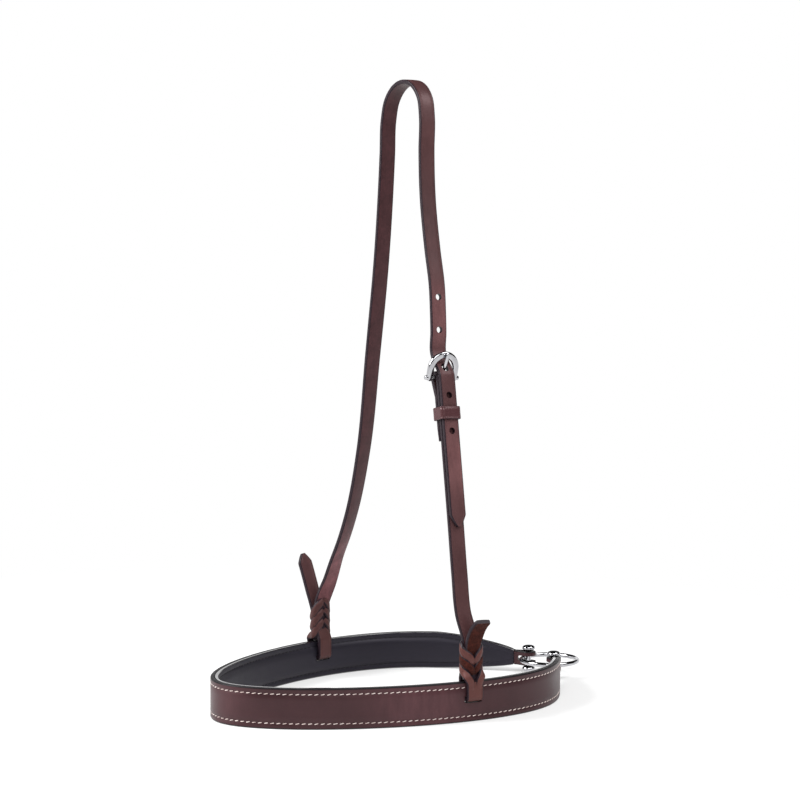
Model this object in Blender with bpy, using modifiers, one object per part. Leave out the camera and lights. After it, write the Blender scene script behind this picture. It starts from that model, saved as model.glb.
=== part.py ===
"""Leather noseband: lined band, tie-down ring, crown strap and buckled cheek strap with plaited hangers.

Metres, +Z up. The nose is at -Y, the jaw at +Y and the near (left) cheek at +X.
The origin is the middle of the leather strip's lower edge at the nose.
"""

import math

import bmesh
import bpy
from mathutils import Matrix, Vector

OBJECT_NAME = "noseband"

# Clearances
FIT = 0.0003
SLOT_SIDE_FIT = 0.0006
SLIT_FIT = 0.0004
RETURN_FIT = 0.0004
HANGER_FIT = 0.0005

# Band: leather strip, padding and lining
BAND_WIDTH = 0.0286
STRIP_THICKNESS = 0.0032
PADDING_THICKNESS = 0.0012
PADDING_STOP = 0.0132
PADDING_FADE = 0.0240
LINING_THICKNESS = 0.0022
CHANNEL_INSET = 0.0042
CHANNEL_SLOPE = 0.0022
EDGE_ROUND = 0.0006

# Plan of the band, from the nose round to the tab
HALF_WIDTH = 0.1010
WIDEST_Y = 0.1722
NOSE_HANDLE = 0.0450
HANDLE_BEFORE_WIDEST = 0.0749
HANDLE_AFTER_WIDEST = 0.0744
TAB_HANDLE = 0.0550
TAB_ANGLE = math.radians(134.0)

# Tab at each end of the strip
TAB_WIDTH = 0.0111
TAB_DROP = 0.0030
TAPER_LENGTH = 0.065
TAPER_POWER = 1.37
TAB_CLOSE = 0.0085
TAB_RETURN = 0.0025

# Ring and knobbed pins
RING_RADIUS = 0.0220
RING_WIRE_RADIUS = 0.0018
RING_Y = 0.3006
PIN_SET_FORWARD = 0.0085
PIN_RADIUS = 0.0022
KNOB_RADIUS = 0.0052
KNOB_HALF_HEIGHT = 0.0024

# Straps
STRAP_WIDTH = 0.0127
STRAP_THICKNESS = 0.0031
STRAP_EDGE_ROUND = 0.0004

# Hangers and their plaits
HANGER_Y = 0.148
BAND_TURN = math.radians(3.5)
SLOT_HEIGHT_ON_BAND = 0.0160
HEADPIECE_SWING = math.radians(5.0)
HANGER_BEND_RADIUS = 0.0019
PLAIT_GAP = 0.0019
PLAIT_PITCH = 0.0088
PLAIT_ROWS = 3
PLAIT_HALF_WIDTH = 0.0087
PLAIT_HALF_DEPTH = 0.0054
PLAIT_RISE = 0.0130
PLAIT_LIFT = 0.0004
NEAR_TAIL_LENGTH = 0.0325
OFF_TAIL_LENGTH = 0.0520
TAIL_POINT = 0.0070

# Shape of a row of strands: shares of the pitch up and of the plait's half width
STRAND_SHAPE = ((0.0, 0.80), (0.08, 0.96), (0.38, 1.0), (0.76, 0.93))
PLAIT_SQUARE = 0.85
PLAIT_SIDES = 24

# Shapes of the tails: shares of their length up and out
NEAR_TAIL = ((0.00, 0.03), (0.25, 0.09), (0.50, 0.15), (0.75, 0.25), (1.00, 0.42))
OFF_TAIL = ((0.00, 0.02), (0.20, 0.05), (0.50, 0.12), (1.00, 0.25))

# Headpiece
STRAP_LEAN_BACK = 0.0368
CROWN_HEIGHT = 0.4565
CROWN_RADIUS = 0.0265

# Shapes of the legs: share of the way up, and distance out as a share of the band's half width
OFF_LEG = (
    (0.054, 0.926), (0.104, 0.832), (0.158, 0.713), (0.211, 0.619), (0.337, 0.480),
    (0.532, 0.386), (0.727, 0.302), (0.933, 0.265),
)
CHEEK_LEG = ((0.118, 0.936), (0.258, 0.876))
UPPER_NEAR_LEG = ((0.795, 0.272), (0.525, 0.307), (0.220, 0.391))

# Buckle
BUCKLE_OUT = 0.0603
BUCKLE_HEIGHT = 0.2420
NEAR_LEAN = 0.205
BAR_RADIUS = 0.0016
BAR_PROUD = 0.0015
FRAME_BAND = 0.0050
FRAME_SIDE_FIT = 0.0014
FRAME_LEG_RISE = 0.00675
FRAME_THICKNESS = 0.0034
FRAME_EASE = 0.0011
FRAME_TILT = math.radians(25.0)
TONGUE_RADIUS = 0.0012
TONGUE_EYE_WIRE = 0.0011
TONGUE_OVERHANG = 0.0004
FOLD_CLOSE = 0.0140
FOLD_BACK = 0.0460
TONGUE_SLOT_WIDTH = 0.0034
TONGUE_SLOT_LENGTH = 0.0122
TONGUE_SLOT_RISE = 0.0006

# Billet end of the crown strap
BILLET_TAIL = 0.1080
BILLET_POINT = 0.0085

# Shape of the billet above the buckle, in heights of the frame
BILLET_STRAIGHT = (0.28, 0.54)
BILLET_BEND = (0.85, 0.06)
BILLET_RETURN = ((-0.14, 1.70), (-0.06, 2.46), (0.0, 3.38))

# Punched holes
HOLE_RADIUS = 0.0020
HOLE_PITCH = 0.0235
HOLE_LEAD = 0.0050
HOLES_ABOVE = 2
HOLES_BELOW = 2
TONGUE_HOLE_LENGTH = 0.0072

# Keeper
KEEPER_HEIGHT = 0.0120
KEEPER_THICKNESS = 0.0016
KEEPER_BELOW_BAR = 0.0265
KEEPER_SIDE_FIT = 0.0005
KEEPER_CORNER = 0.0012

# Fineness of the meshes
BAND_STEP = 0.0085
TAPER_STEP = 0.0048
STRAP_STEP = 0.0130
FOLD_STEP = math.radians(24.0)
BEND_STEP = math.radians(9.0)
ARC_STEP = math.radians(30.0)
SMALLEST_PIECE = 1e-9

UP = Vector((0.0, 0.0, 1.0))
REAR = Vector((0.0, 1.0, 0.0))


# Helpers


def clear_scene():
    for obj in list(bpy.data.objects):
        bpy.data.objects.remove(obj, do_unlink=True)


def make_collection(name):
    collection = bpy.data.collections.new(name)
    bpy.context.scene.collection.children.link(collection)
    return collection


def make_material(name, colour, roughness, metallic=0.0):
    material = bpy.data.materials.new(name)
    material.use_nodes = True
    shader = material.node_tree.nodes["Principled BSDF"]
    shader.inputs["Base Color"].default_value = (*colour, 1.0)
    shader.inputs["Roughness"].default_value = roughness
    shader.inputs["Metallic"].default_value = metallic
    material.diffuse_color = (*colour, 1.0)
    return material


def add_object(name, data, matrix=None):
    obj = bpy.data.objects.new(name, data)
    PARTS.objects.link(obj)
    if matrix is not None:
        obj.matrix_world = matrix
    return obj


def settle(obj):
    """Replaces the object's modifiers, or its curve, by the mesh that they make."""
    bpy.context.view_layer.update()
    graph = bpy.context.evaluated_depsgraph_get()
    mesh = bpy.data.meshes.new_from_object(obj.evaluated_get(graph))
    if obj.type == "MESH":
        obj.modifiers.clear()
        obj.data = mesh
        return obj
    bm = bmesh.new()
    bm.from_mesh(mesh)
    bmesh.ops.remove_doubles(bm, verts=bm.verts, dist=1e-6)
    bm.to_mesh(mesh)
    bm.free()
    name = obj.name
    matrix = obj.matrix_world.copy()
    bpy.data.objects.remove(obj, do_unlink=True)
    return add_object(name, mesh, matrix)


def shells(bm):
    """Groups of faces that hang together."""
    left = set(bm.faces)
    groups = []
    while left:
        stack = [left.pop()]
        group = []
        while stack:
            face = stack.pop()
            group.append(face)
            for edge in face.edges:
                for other in edge.link_faces:
                    if other in left:
                        left.remove(other)
                        stack.append(other)
        groups.append(group)
    return groups


def signed_volume(faces):
    total = 0.0
    for face in faces:
        corners = [vert.co for vert in face.verts]
        for k in range(1, len(corners) - 1):
            total += corners[0].dot(corners[k].cross(corners[k + 1]))
    return total / 6.0


def face_outward(obj):
    bm = bmesh.new()
    bm.from_mesh(obj.data)
    bmesh.ops.recalc_face_normals(bm, faces=bm.faces)
    if signed_volume(bm.faces) < 0.0:
        bmesh.ops.reverse_faces(bm, faces=bm.faces)
    bm.to_mesh(obj.data)
    bm.free()
    return obj


def outer_skin(obj):
    """Drops the small hollows and crumbs that a union closes off inside a plait."""
    bm = bmesh.new()
    bm.from_mesh(obj.data)
    hidden = [group for group in shells(bm) if signed_volume(group) < SMALLEST_PIECE]
    faces = [face for group in hidden for face in group]
    bmesh.ops.delete(bm, geom=faces, context="FACES")
    bm.to_mesh(obj.data)
    bm.free()
    return obj


def combine(obj, other, operation):
    """Cuts or joins with another closed mesh and removes that mesh."""
    modifier = obj.modifiers.new(operation.lower(), "BOOLEAN")
    modifier.operation = operation
    modifier.solver = "EXACT"
    modifier.object = other
    settle(obj)
    bpy.data.objects.remove(other, do_unlink=True)
    return obj


def shade(obj, angle=math.radians(40.0)):
    obj.data.shade_smooth()
    obj.data.set_sharp_from_angle(angle=angle)


def finish(obj, material):
    obj.data.materials.clear()
    obj.data.materials.append(material)
    shade(obj)
    return obj


def grid_mesh(name, rails):
    """Open surface with one row of points per rail."""
    columns = len(rails[0])
    verts = [point for rail in rails for point in rail]
    faces = []
    for row in range(len(rails) - 1):
        for column in range(columns - 1):
            first = row * columns + column
            faces.append((first, first + 1, first + columns + 1, first + columns))
    mesh = bpy.data.meshes.new(name)
    mesh.from_pydata(verts, [], faces)
    return mesh


def leather(name, rails, thickness, edge_round):
    """Sheet of leather: an open surface made solid, with its long edges eased."""
    obj = add_object(name, grid_mesh(name, rails))
    solid = obj.modifiers.new("thickness", "SOLIDIFY")
    solid.thickness = thickness
    solid.offset = 0.0
    solid.use_even_offset = True
    ease = obj.modifiers.new("edges", "BEVEL")
    ease.width = edge_round
    ease.segments = 1
    ease.limit_method = "ANGLE"
    ease.angle_limit = math.radians(60.0)
    return face_outward(settle(obj))


def loft(name, rings, tips=None):
    """Closed body through rings of points, with a flat cap or a tip at each end."""
    count = len(rings[0])
    verts = [point for ring in rings for point in ring]
    last = len(verts) - count
    faces = []
    for row in range(len(rings) - 1):
        for column in range(count):
            after = (column + 1) % count
            low = row * count
            high = low + count
            faces.append((low + column, low + after, high + after, high + column))
    if tips:
        foot = len(verts)
        verts += tips
        for column in range(count):
            after = (column + 1) % count
            faces.append((foot, after, column))
            faces.append((foot + 1, last + column, last + after))
    else:
        faces.append(tuple(range(count)))
        faces.append(tuple(range(last + count - 1, last - 1, -1)))
    mesh = bpy.data.meshes.new(name)
    mesh.from_pydata(verts, [], faces)
    return face_outward(add_object(name, mesh))


def box(name, size, matrix):
    mesh = bpy.data.meshes.new(name)
    bm = bmesh.new()
    bmesh.ops.create_cube(bm, size=1.0)
    bmesh.ops.scale(bm, vec=size, verts=bm.verts)
    bm.to_mesh(mesh)
    bm.free()
    return add_object(name, mesh, matrix)


def cylinder(name, radius, length, matrix, sides=16):
    mesh = bpy.data.meshes.new(name)
    bm = bmesh.new()
    bmesh.ops.create_cone(
        bm, cap_ends=True, segments=sides, radius1=radius, radius2=radius, depth=length
    )
    bm.to_mesh(mesh)
    bm.free()
    return add_object(name, mesh, matrix)


def axes_matrix(x_axis, y_axis, z_axis, origin):
    matrix = Matrix((x_axis, y_axis, z_axis)).transposed().to_4x4()
    matrix.translation = origin
    return matrix


# Curves


def bezier(p0, p1, p2, p3, t):
    u = 1.0 - t
    return u**3 * p0 + 3 * u * u * t * p1 + 3 * u * t * t * p2 + t**3 * p3


def smooth_curve(knots, step):
    """Points along a smooth curve through the knots: within a step of each other, and closer on bends."""
    gaps = [(b - a).length for a, b in zip(knots, knots[1:])]
    slopes = [(knots[1] - knots[0]) / gaps[0]]
    for i in range(1, len(knots) - 1):
        before = (knots[i] - knots[i - 1]) / gaps[i - 1]
        after = (knots[i + 1] - knots[i]) / gaps[i]
        slopes.append((before * gaps[i] + after * gaps[i - 1]) / (gaps[i - 1] + gaps[i]))
    slopes.append((knots[-1] - knots[-2]) / gaps[-1])
    points = [knots[0].copy()]
    for i, gap in enumerate(gaps):
        lead = knots[i] + slopes[i] * gap / 3.0
        trail = knots[i + 1] - slopes[i + 1] * gap / 3.0
        turn = slopes[i].angle(slopes[i + 1])
        pieces = max(1, math.ceil(gap / step), math.ceil(turn / BEND_STEP))
        for k in range(1, pieces + 1):
            points.append(bezier(knots[i], lead, trail, knots[i + 1], k / pieces))
    return points


def filleted(corners, radius):
    """Straight runs between the corners, with an arc at each inner corner."""
    points = [corners[0]]
    for before, corner, after in zip(corners, corners[1:], corners[2:]):
        arriving = (corner - before).normalized()
        leaving = (after - corner).normalized()
        turn = arriving.angle(leaving)
        back = radius * math.tan(turn / 2.0)
        start = corner - arriving * back
        side = (leaving - arriving * arriving.dot(leaving)).normalized()
        centre = start + side * radius
        steps = max(2, math.ceil(turn / ARC_STEP))
        for k in range(steps + 1):
            angle = turn * k / steps
            points.append(centre - side * radius * math.cos(angle) + arriving * radius * math.sin(angle))
    points.append(corners[-1])
    return points


def fold_points(radius, closing_run, layer_step):
    """Plane route of a strap round a bar at (0, 0): from beside the bar, round it and back to the strap.

    The first value is the distance to the strap's side of the bar, the second the distance along the strap.
    """
    end = Vector((radius - layer_step, -closing_run))
    turn = math.atan2(end.y, end.x) + 2.0 * math.pi - math.acos(radius / end.length)
    steps = math.ceil(turn / FOLD_STEP)
    points = [
        Vector((radius * math.cos(turn * k / steps), radius * math.sin(turn * k / steps)))
        for k in range(steps + 1)
    ]
    points.append(points[-1].lerp(end, 0.5))
    points.append(end)
    return points


class Route:
    """A dense run of points that is read by its length from the first one."""

    def __init__(self, points):
        self.points = points
        self.reach = [0.0]
        for a, b in zip(points, points[1:]):
            self.reach.append(self.reach[-1] + (b - a).length)
        self.length = self.reach[-1]

    def at(self, distance):
        index = 1
        while index < len(self.points) - 1 and self.reach[index] < distance:
            index += 1
        a = self.points[index - 1]
        b = self.points[index]
        share = (distance - self.reach[index - 1]) / (self.reach[index] - self.reach[index - 1])
        return a.lerp(b, share), (b - a).normalized()


# Places that several pieces share

MIDDLE_Z = BAND_WIDTH / 2.0
TAB_Z = MIDDLE_Z - TAB_DROP
STRIP_INNER = STRIP_THICKNESS / 2.0
PADDING_OUTER = STRIP_INNER + FIT
LINING_EDGE_DEPTH = STRIP_INNER + FIT + LINING_THICKNESS / 2.0
PADDING_BULGE = PADDING_THICKNESS + FIT
BAND_INNER = LINING_EDGE_DEPTH + PADDING_BULGE + LINING_THICKNESS / 2.0

PIN_REACH = RING_RADIUS - RING_WIRE_RADIUS - FIT - PIN_RADIUS
PIN_X = math.sqrt(PIN_REACH**2 - PIN_SET_FORWARD**2)
PIN_Y = RING_Y - PIN_SET_FORWARD
KNOB_Z = TAB_WIDTH / 2.0 + FIT + KNOB_HALF_HEIGHT
TAB_FOLD_RADIUS = PIN_RADIUS + FIT + STRIP_THICKNESS / 2.0
TAB_ALONG = Vector((math.cos(TAB_ANGLE), math.sin(TAB_ANGLE), 0.0))
TAB_OUTWARD = Vector((TAB_ALONG.y, -TAB_ALONG.x, 0.0))
TAB_END = Vector((PIN_X, PIN_Y, 0.0)) + TAB_OUTWARD * TAB_FOLD_RADIUS

TURNED = Matrix.Rotation(BAND_TURN, 4, "Z")
HEADPIECE_X = -HANGER_Y * math.sin(BAND_TURN)

LEG_OUTER = STRIP_THICKNESS / 2.0 + HANGER_FIT + STRAP_THICKNESS / 2.0
LEG_INNER = -(BAND_INNER + HANGER_FIT + STRAP_THICKNESS / 2.0)
PLAIT_CENTRE = (LEG_OUTER + LEG_INNER) / 2.0
PLAIT_FOOT = BAND_WIDTH + PLAIT_GAP
TAIL_FOOT = PLAIT_FOOT + (PLAIT_ROWS - 1.5) * PLAIT_PITCH
PLAIT_TOP = PLAIT_FOOT + (PLAIT_ROWS - 1.0) * PLAIT_PITCH + PLAIT_RISE / 2.0
SLOT_OPENING = STRAP_THICKNESS + 2.0 * (STRAP_WIDTH / 2.0 * math.sin(HEADPIECE_SWING) + SLIT_FIT)

LAYER = STRAP_THICKNESS + FIT
BAR_DEPTH = BAR_RADIUS + FIT + STRAP_THICKNESS / 2.0
BILLET_TURN_RADIUS = BAR_DEPTH + LAYER
FRAME_WIDTH = STRAP_WIDTH + 2.0 * (FRAME_BAND + FRAME_SIDE_FIT)
FRAME_HEIGHT = FRAME_LEG_RISE + FRAME_WIDTH / 2.0


def angle_past(height, depth, distance):
    """Angle from the frame's plane to a line that clears its edge, at this height and depth, by the distance."""
    return math.atan2(depth, height) + math.asin(distance / math.hypot(height, depth))


def billet_angle():
    """Least turn over the bar that takes the billet clear behind the frame's arc."""
    inner = FRAME_WIDTH / 2.0 - FRAME_BAND
    edge = FRAME_LEG_RISE + math.sqrt(inner**2 - (STRAP_WIDTH / 2.0) ** 2)
    distance = BILLET_TURN_RADIUS + STRAP_THICKNESS / 2.0 + 2.0 * FIT
    half = FRAME_THICKNESS / 2.0
    past = max(
        angle_past(edge, half - FRAME_EASE, distance), angle_past(edge + FRAME_EASE, half, distance)
    )
    return past - FRAME_TILT


BILLET_CROSSING = billet_angle()
TONGUE_RISE = angle_past(
    FRAME_HEIGHT - FRAME_BAND + FRAME_EASE, FRAME_THICKNESS / 2.0, FIT + TONGUE_RADIUS
)


def near_half_line():
    """Middle of the strip's thickness in plan, from the nose to where the near tab meets its pin."""
    nose = Vector((0.0, 0.0, 0.0))
    widest = Vector((HALF_WIDTH, WIDEST_Y, 0.0))
    front = (nose, nose + Vector((NOSE_HANDLE, 0.0, 0.0)), widest - REAR * HANDLE_BEFORE_WIDEST, widest)
    rear = (widest, widest + REAR * HANDLE_AFTER_WIDEST, TAB_END - TAB_ALONG * TAB_HANDLE, TAB_END)
    samples = 160
    points = [bezier(*front, k / samples) for k in range(samples)]
    points += [bezier(*rear, k / samples) for k in range(samples + 1)]
    return Route(points)


BAND_LINE = near_half_line()
BAND_END = BAND_LINE.length
TAB_LENGTH = TAB_CLOSE + TAB_RETURN + RETURN_FIT


def band_point(distance, depth):
    """Plan point on the near half, at this distance from the nose and this far inside the strip's middle."""
    point, along = BAND_LINE.at(distance)
    outward = Vector((along.y, -along.x, 0.0))
    return point - outward * depth


def taper_share(distance):
    """1 on the full width, 0 on the tab, with a rounded shoulder between."""
    from_tab = (BAND_END - TAB_LENGTH - distance) / TAPER_LENGTH
    share = min(1.0, max(0.0, from_tab))
    return (1.0 - (1.0 - share) ** TAPER_POWER) ** (1.0 / TAPER_POWER)


def band_half_height(distance):
    share = taper_share(distance)
    return TAB_WIDTH / 2.0 + (BAND_WIDTH - TAB_WIDTH) / 2.0 * share


def band_middle_z(distance):
    return TAB_Z + (MIDDLE_Z - TAB_Z) * taper_share(distance)


def mirrored(points):
    return [Vector((-p.x, p.y, p.z)) for p in points]


def both_halves(near_columns):
    """Columns of points from the off end round the nose to the near end; the first one lies at the nose."""
    off = [mirrored(column) for column in near_columns[:0:-1]]
    return off + near_columns


def distances(end):
    """Stations from the nose to the end, closer together on the taper."""
    taper_start = BAND_END - TAB_LENGTH - TAPER_LENGTH
    count = math.ceil(taper_start / BAND_STEP)
    stations = [taper_start * k / count for k in range(count)]
    count = math.ceil((end - taper_start) / TAPER_STEP)
    stations += [taper_start + (end - taper_start) * k / count for k in range(count + 1)]
    return stations


# Band


def strip_column(plan, distance):
    half = band_half_height(distance)
    middle = band_middle_z(distance)
    return [plan + UP * (middle - half), plan + UP * (middle + half)]


def tab_plan():
    """Plan points of the tab: round the pin, back to the strip and a short way along it."""
    pin = Vector((PIN_X, PIN_Y, 0.0))
    layer_step = STRIP_THICKNESS + RETURN_FIT
    fold = fold_points(TAB_FOLD_RADIUS, TAB_CLOSE, layer_step)
    plan = [pin + TAB_OUTWARD * p.x + TAB_ALONG * p.y for p in fold[1:-1]]
    plan.append(band_point(BAND_END - TAB_CLOSE, layer_step))
    plan.append(band_point(BAND_END - TAB_CLOSE - TAB_RETURN, layer_step))
    return plan


def make_band_leather():
    columns = [strip_column(band_point(d, 0.0), d) for d in distances(BAND_END)]
    columns += [strip_column(p, BAND_END) for p in tab_plan()]
    strip = leather("band_leather", both_halves(columns), STRIP_THICKNESS, EDGE_ROUND)
    cut_hanger_slots(strip)
    for side in (1, -1):
        cut_ring_slit(strip, side)
    return finish(turned_band(strip), BRIDLE_LEATHER)


def cut_ring_slit(strip, side):
    """Slit through both layers of a tab, which lets the ring's wire through."""
    reach_out = TAB_FOLD_RADIUS + STRIP_THICKNESS
    reach_back = TAB_CLOSE
    along = Vector((TAB_ALONG.x * side, TAB_ALONG.y, 0.0))
    across = UP.cross(along)
    middle = Vector((PIN_X * side, PIN_Y, TAB_Z)) + along * (reach_out - reach_back) / 2.0
    size = (reach_out + reach_back, 4.0 * TAB_FOLD_RADIUS, 2.0 * (RING_WIRE_RADIUS + SLIT_FIT))
    combine(strip, box("slit", size, axes_matrix(along, across, UP, middle)), "DIFFERENCE")


def slot_place(side):
    """Origin on the strip's middle, outward and rearward directions of a slot: side 1 is near, -1 off."""
    low = 0.0
    high = BAND_END
    for _ in range(40):
        middle = (low + high) / 2.0
        if BAND_LINE.at(middle)[0].y < HANGER_Y:
            low = middle
        else:
            high = middle
    point, along = BAND_LINE.at(low)
    outward = Vector((along.y * side, -along.x, 0.0))
    rearward = Vector((along.x * side, along.y, 0.0))
    return Vector((point.x * side, point.y, 0.0)), outward, rearward


def turned_band(layer):
    """The layer after the whole band is turned a little under the headpiece."""
    layer.data.transform(TURNED)
    return layer


def hanger(side):
    """Origin, outward and rearward directions of a hanger on the turned band."""
    origin, outward, rearward = slot_place(side)
    turn = TURNED.to_3x3()
    return TURNED @ origin, turn @ outward, turn @ rearward


def cut_hanger_slots(layer):
    for side in (1, -1):
        origin, outward, rearward = slot_place(side)
        width = STRAP_WIDTH + 2.0 * SLOT_SIDE_FIT
        depth = 4.0 * BAND_INNER
        matrix = axes_matrix(outward, rearward, UP * side, origin + UP * SLOT_HEIGHT_ON_BAND)
        combine(layer, box("slot", (depth, width, SLOT_OPENING), matrix), "DIFFERENCE")


LINING_END = BAND_END - TAB_LENGTH - RETURN_FIT
PADDING_END = BAND_END - TAB_LENGTH - PADDING_STOP


def crown_share(distance):
    """How far the padding lifts the lining: 1 along the band, fading out towards the tabs."""
    share = min(1.0, max(0.0, (PADDING_END - distance) / PADDING_FADE))
    return share * share * (3.0 - 2.0 * share)


def make_band_lining():
    columns = []
    for distance in distances(LINING_END):
        half = band_half_height(distance)
        middle = band_middle_z(distance)
        flat = half - min(CHANNEL_INSET - CHANNEL_SLOPE / 2.0, half * 0.4)
        raised = max(half - CHANNEL_INSET - CHANNEL_SLOPE / 2.0, half * 0.3)
        bulge = PADDING_BULGE * crown_share(distance)
        rows = ((-half, 0), (-flat, 0), (-raised, 1), (0.0, 1), (raised, 1), (flat, 0), (half, 0))
        columns.append(
            [band_point(distance, LINING_EDGE_DEPTH + bulge * on) + UP * (middle + z) for z, on in rows]
        )
    lining = leather("band_lining", both_halves(columns), LINING_THICKNESS, EDGE_ROUND * 0.6)
    cut_hanger_slots(lining)
    return finish(turned_band(lining), LINING_LEATHER)


def padding_ring(distance):
    half = band_half_height(distance) - CHANNEL_INSET - CHANNEL_SLOPE / 2.0
    middle = band_middle_z(distance)
    thickness = PADDING_THICKNESS * max(0.45, crown_share(distance))
    section = (
        (0.0, -half), (0.0, half), (0.5, half), (1.0, half * 0.9), (1.0, -half * 0.9), (0.5, -half),
    )
    return [
        band_point(distance, PADDING_OUTER + depth * thickness) + UP * (middle + z) for depth, z in section
    ]


def make_band_padding():
    end = PADDING_END - PADDING_FADE / 2.0
    count = math.ceil(end / BAND_STEP)
    rings = [padding_ring(end * k / count) for k in range(count + 1)]
    padding = loft("band_padding", both_halves(rings))
    cut_hanger_slots(padding)
    return finish(turned_band(padding), FELT)


# Ring and pins


def make_ring():
    mesh = bpy.data.meshes.new("tie_down_ring")
    obj = add_object("tie_down_ring", mesh, TURNED @ Matrix.Translation((0.0, RING_Y, TAB_Z)))
    bm = bmesh.new()
    sides = 12
    section = [
        bm.verts.new(
            (
                RING_RADIUS + RING_WIRE_RADIUS * math.cos(2.0 * math.pi * k / sides),
                0.0,
                RING_WIRE_RADIUS * math.sin(2.0 * math.pi * k / sides),
            )
        )
        for k in range(sides)
    ]
    edges = [bm.edges.new((section[k], section[(k + 1) % sides])) for k in range(sides)]
    bmesh.ops.spin(
        bm, geom=section + edges, cent=(0, 0, 0), axis=(0, 0, 1), angle=2.0 * math.pi, steps=64,
        use_merge=True,
    )
    bmesh.ops.recalc_face_normals(bm, faces=bm.faces)
    bm.to_mesh(mesh)
    bm.free()
    return finish(obj, STEEL)


def knob_profile():
    """Radius and height of the upper half of a pin, from its top down to mid-height."""
    neck_angle = math.asin(PIN_RADIUS / KNOB_RADIUS)
    points = []
    steps = 9
    for k in range(steps + 1):
        angle = (math.pi - neck_angle) * k / steps
        radius = KNOB_RADIUS * math.sin(angle) ** 0.8
        points.append((max(0.0, radius), KNOB_Z + KNOB_HALF_HEIGHT * math.cos(angle)))
    points[-1] = (PIN_RADIUS, KNOB_Z - KNOB_HALF_HEIGHT * math.cos(neck_angle))
    return points


def make_pin(name, side):
    upper = knob_profile()
    profile = upper + [(radius, -height) for radius, height in reversed(upper)]
    mesh = bpy.data.meshes.new(name)
    verts = [(radius, 0.0, height) for radius, height in profile]
    mesh.from_pydata(verts, [(k, k + 1) for k in range(len(verts) - 1)], [])
    obj = add_object(name, mesh, TURNED @ Matrix.Translation((PIN_X * side, PIN_Y, TAB_Z)))
    turn = obj.modifiers.new("turned", "SCREW")
    turn.steps = 24
    turn.render_steps = 24
    turn.use_merge_vertices = True
    turn.merge_threshold = 0.00005
    return finish(face_outward(settle(obj)), STEEL)


# Straps


def across_strap(direction):
    """Width direction of a strap that runs this way with its edges to the front and the rear."""
    return (REAR - direction * REAR.dot(direction)).normalized()


def directions(points):
    found = []
    for k in range(len(points)):
        before = points[max(0, k - 1)]
        after = points[min(len(points) - 1, k + 1)]
        found.append((after - before).normalized())
    return found


def strap(name, points, across=None, point_length=0.0):
    """A strap along the points, full width but for a pointed last end."""
    columns = []
    remaining = Route(list(reversed(points)))
    reach = dict(zip(range(len(points) - 1, -1, -1), remaining.reach))
    for k, (point, direction) in enumerate(zip(points, directions(points))):
        side = across if across is not None else across_strap(direction)
        half = STRAP_WIDTH / 2.0
        if point_length > 0.0 and reach[k] < point_length:
            half *= 0.12 + 0.88 * reach[k] / point_length
        columns.append([point - side * half, point + side * half])
    return leather(name, columns, STRAP_THICKNESS, STRAP_EDGE_ROUND)


def leg_points(shape, side, bottom, top):
    points = []
    for share, out in shape:
        height = bottom + (top - bottom) * share
        points.append(Vector((HEADPIECE_X + out * HALF_WIDTH * side, leg_y(height), height)))
    return points


def hanger_point(side, out, height, rear=0.0):
    origin, outward, rearward = hanger(side)
    return origin + outward * out + rearward * rear + UP * height


def make_hanger_loop(side):
    """The strap down the outside, through the slot and up the inside of the band."""
    corners = [
        hanger_point(side, PLAIT_CENTRE + 0.3 * PLAIT_HALF_DEPTH, PLAIT_FOOT + 0.7 * PLAIT_PITCH),
        hanger_point(side, LEG_OUTER, BAND_WIDTH - EDGE_ROUND),
        hanger_point(side, LEG_OUTER, SLOT_HEIGHT_ON_BAND),
        hanger_point(side, LEG_INNER, SLOT_HEIGHT_ON_BAND),
        hanger_point(side, LEG_INNER, BAND_WIDTH - EDGE_ROUND),
        hanger_point(
            side, PLAIT_CENTRE - 0.45 * PLAIT_HALF_DEPTH, PLAIT_FOOT + PLAIT_RISE + 0.5 * PLAIT_PITCH
        ),
    ]
    _, _, rearward = hanger(side)
    return strap("hanger_loop", filleted(corners, HANGER_BEND_RADIUS), across=rearward)


def plait_ring(side, row, share):
    """Ring round the plait, lowest on its outer face and highest at its back, clear of the band's edge."""
    points = []
    for k in range(PLAIT_SIDES):
        turn = 2.0 * math.pi * k / PLAIT_SIDES
        rise = PLAIT_RISE * min(turn, 2.0 * math.pi - turn) / math.pi
        height = PLAIT_FOOT + max(PLAIT_LIFT * row, (row - 1.0) * PLAIT_PITCH + rise)
        rear = PLAIT_HALF_WIDTH * share * math.copysign(abs(math.sin(turn)) ** PLAIT_SQUARE, math.sin(turn))
        out = PLAIT_HALF_DEPTH * share * math.copysign(abs(math.cos(turn)) ** PLAIT_SQUARE, math.cos(turn))
        points.append(hanger_point(side, PLAIT_CENTRE + out, height, rear))
    return points


def make_plait(side):
    """Plait of slit straps: each row of crossing strands stands proud at its lower edge."""
    rings = []
    for row in range(PLAIT_ROWS):
        rings += [plait_ring(side, row + up, share) for up, share in STRAND_SHAPE]
    rings.append(plait_ring(side, PLAIT_ROWS, STRAND_SHAPE[0][1]))
    foot = hanger_point(side, PLAIT_CENTRE, PLAIT_FOOT)
    top = hanger_point(side, PLAIT_CENTRE, PLAIT_TOP)
    return loft("plait", rings, (foot, top))


def make_tail(side, shape, length, point_length):
    """Free end of the strap, out of the top of the plait and away from it."""
    knots = [hanger_point(side, PLAIT_CENTRE + out * length, TAIL_FOOT + up * length) for up, out in shape]
    _, _, rearward = hanger(side)
    points = smooth_curve(knots, STRAP_STEP / 3.0)
    return strap("tail", points, across=rearward, point_length=point_length)


def plait_exit(side):
    return [
        hanger_point(side, PLAIT_CENTRE - 0.1 * PLAIT_HALF_DEPTH, PLAIT_TOP - 1.2 * PLAIT_PITCH),
        hanger_point(side, PLAIT_CENTRE - 0.4 * PLAIT_HALF_DEPTH, PLAIT_TOP + 0.4 * PLAIT_PITCH),
    ]


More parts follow.
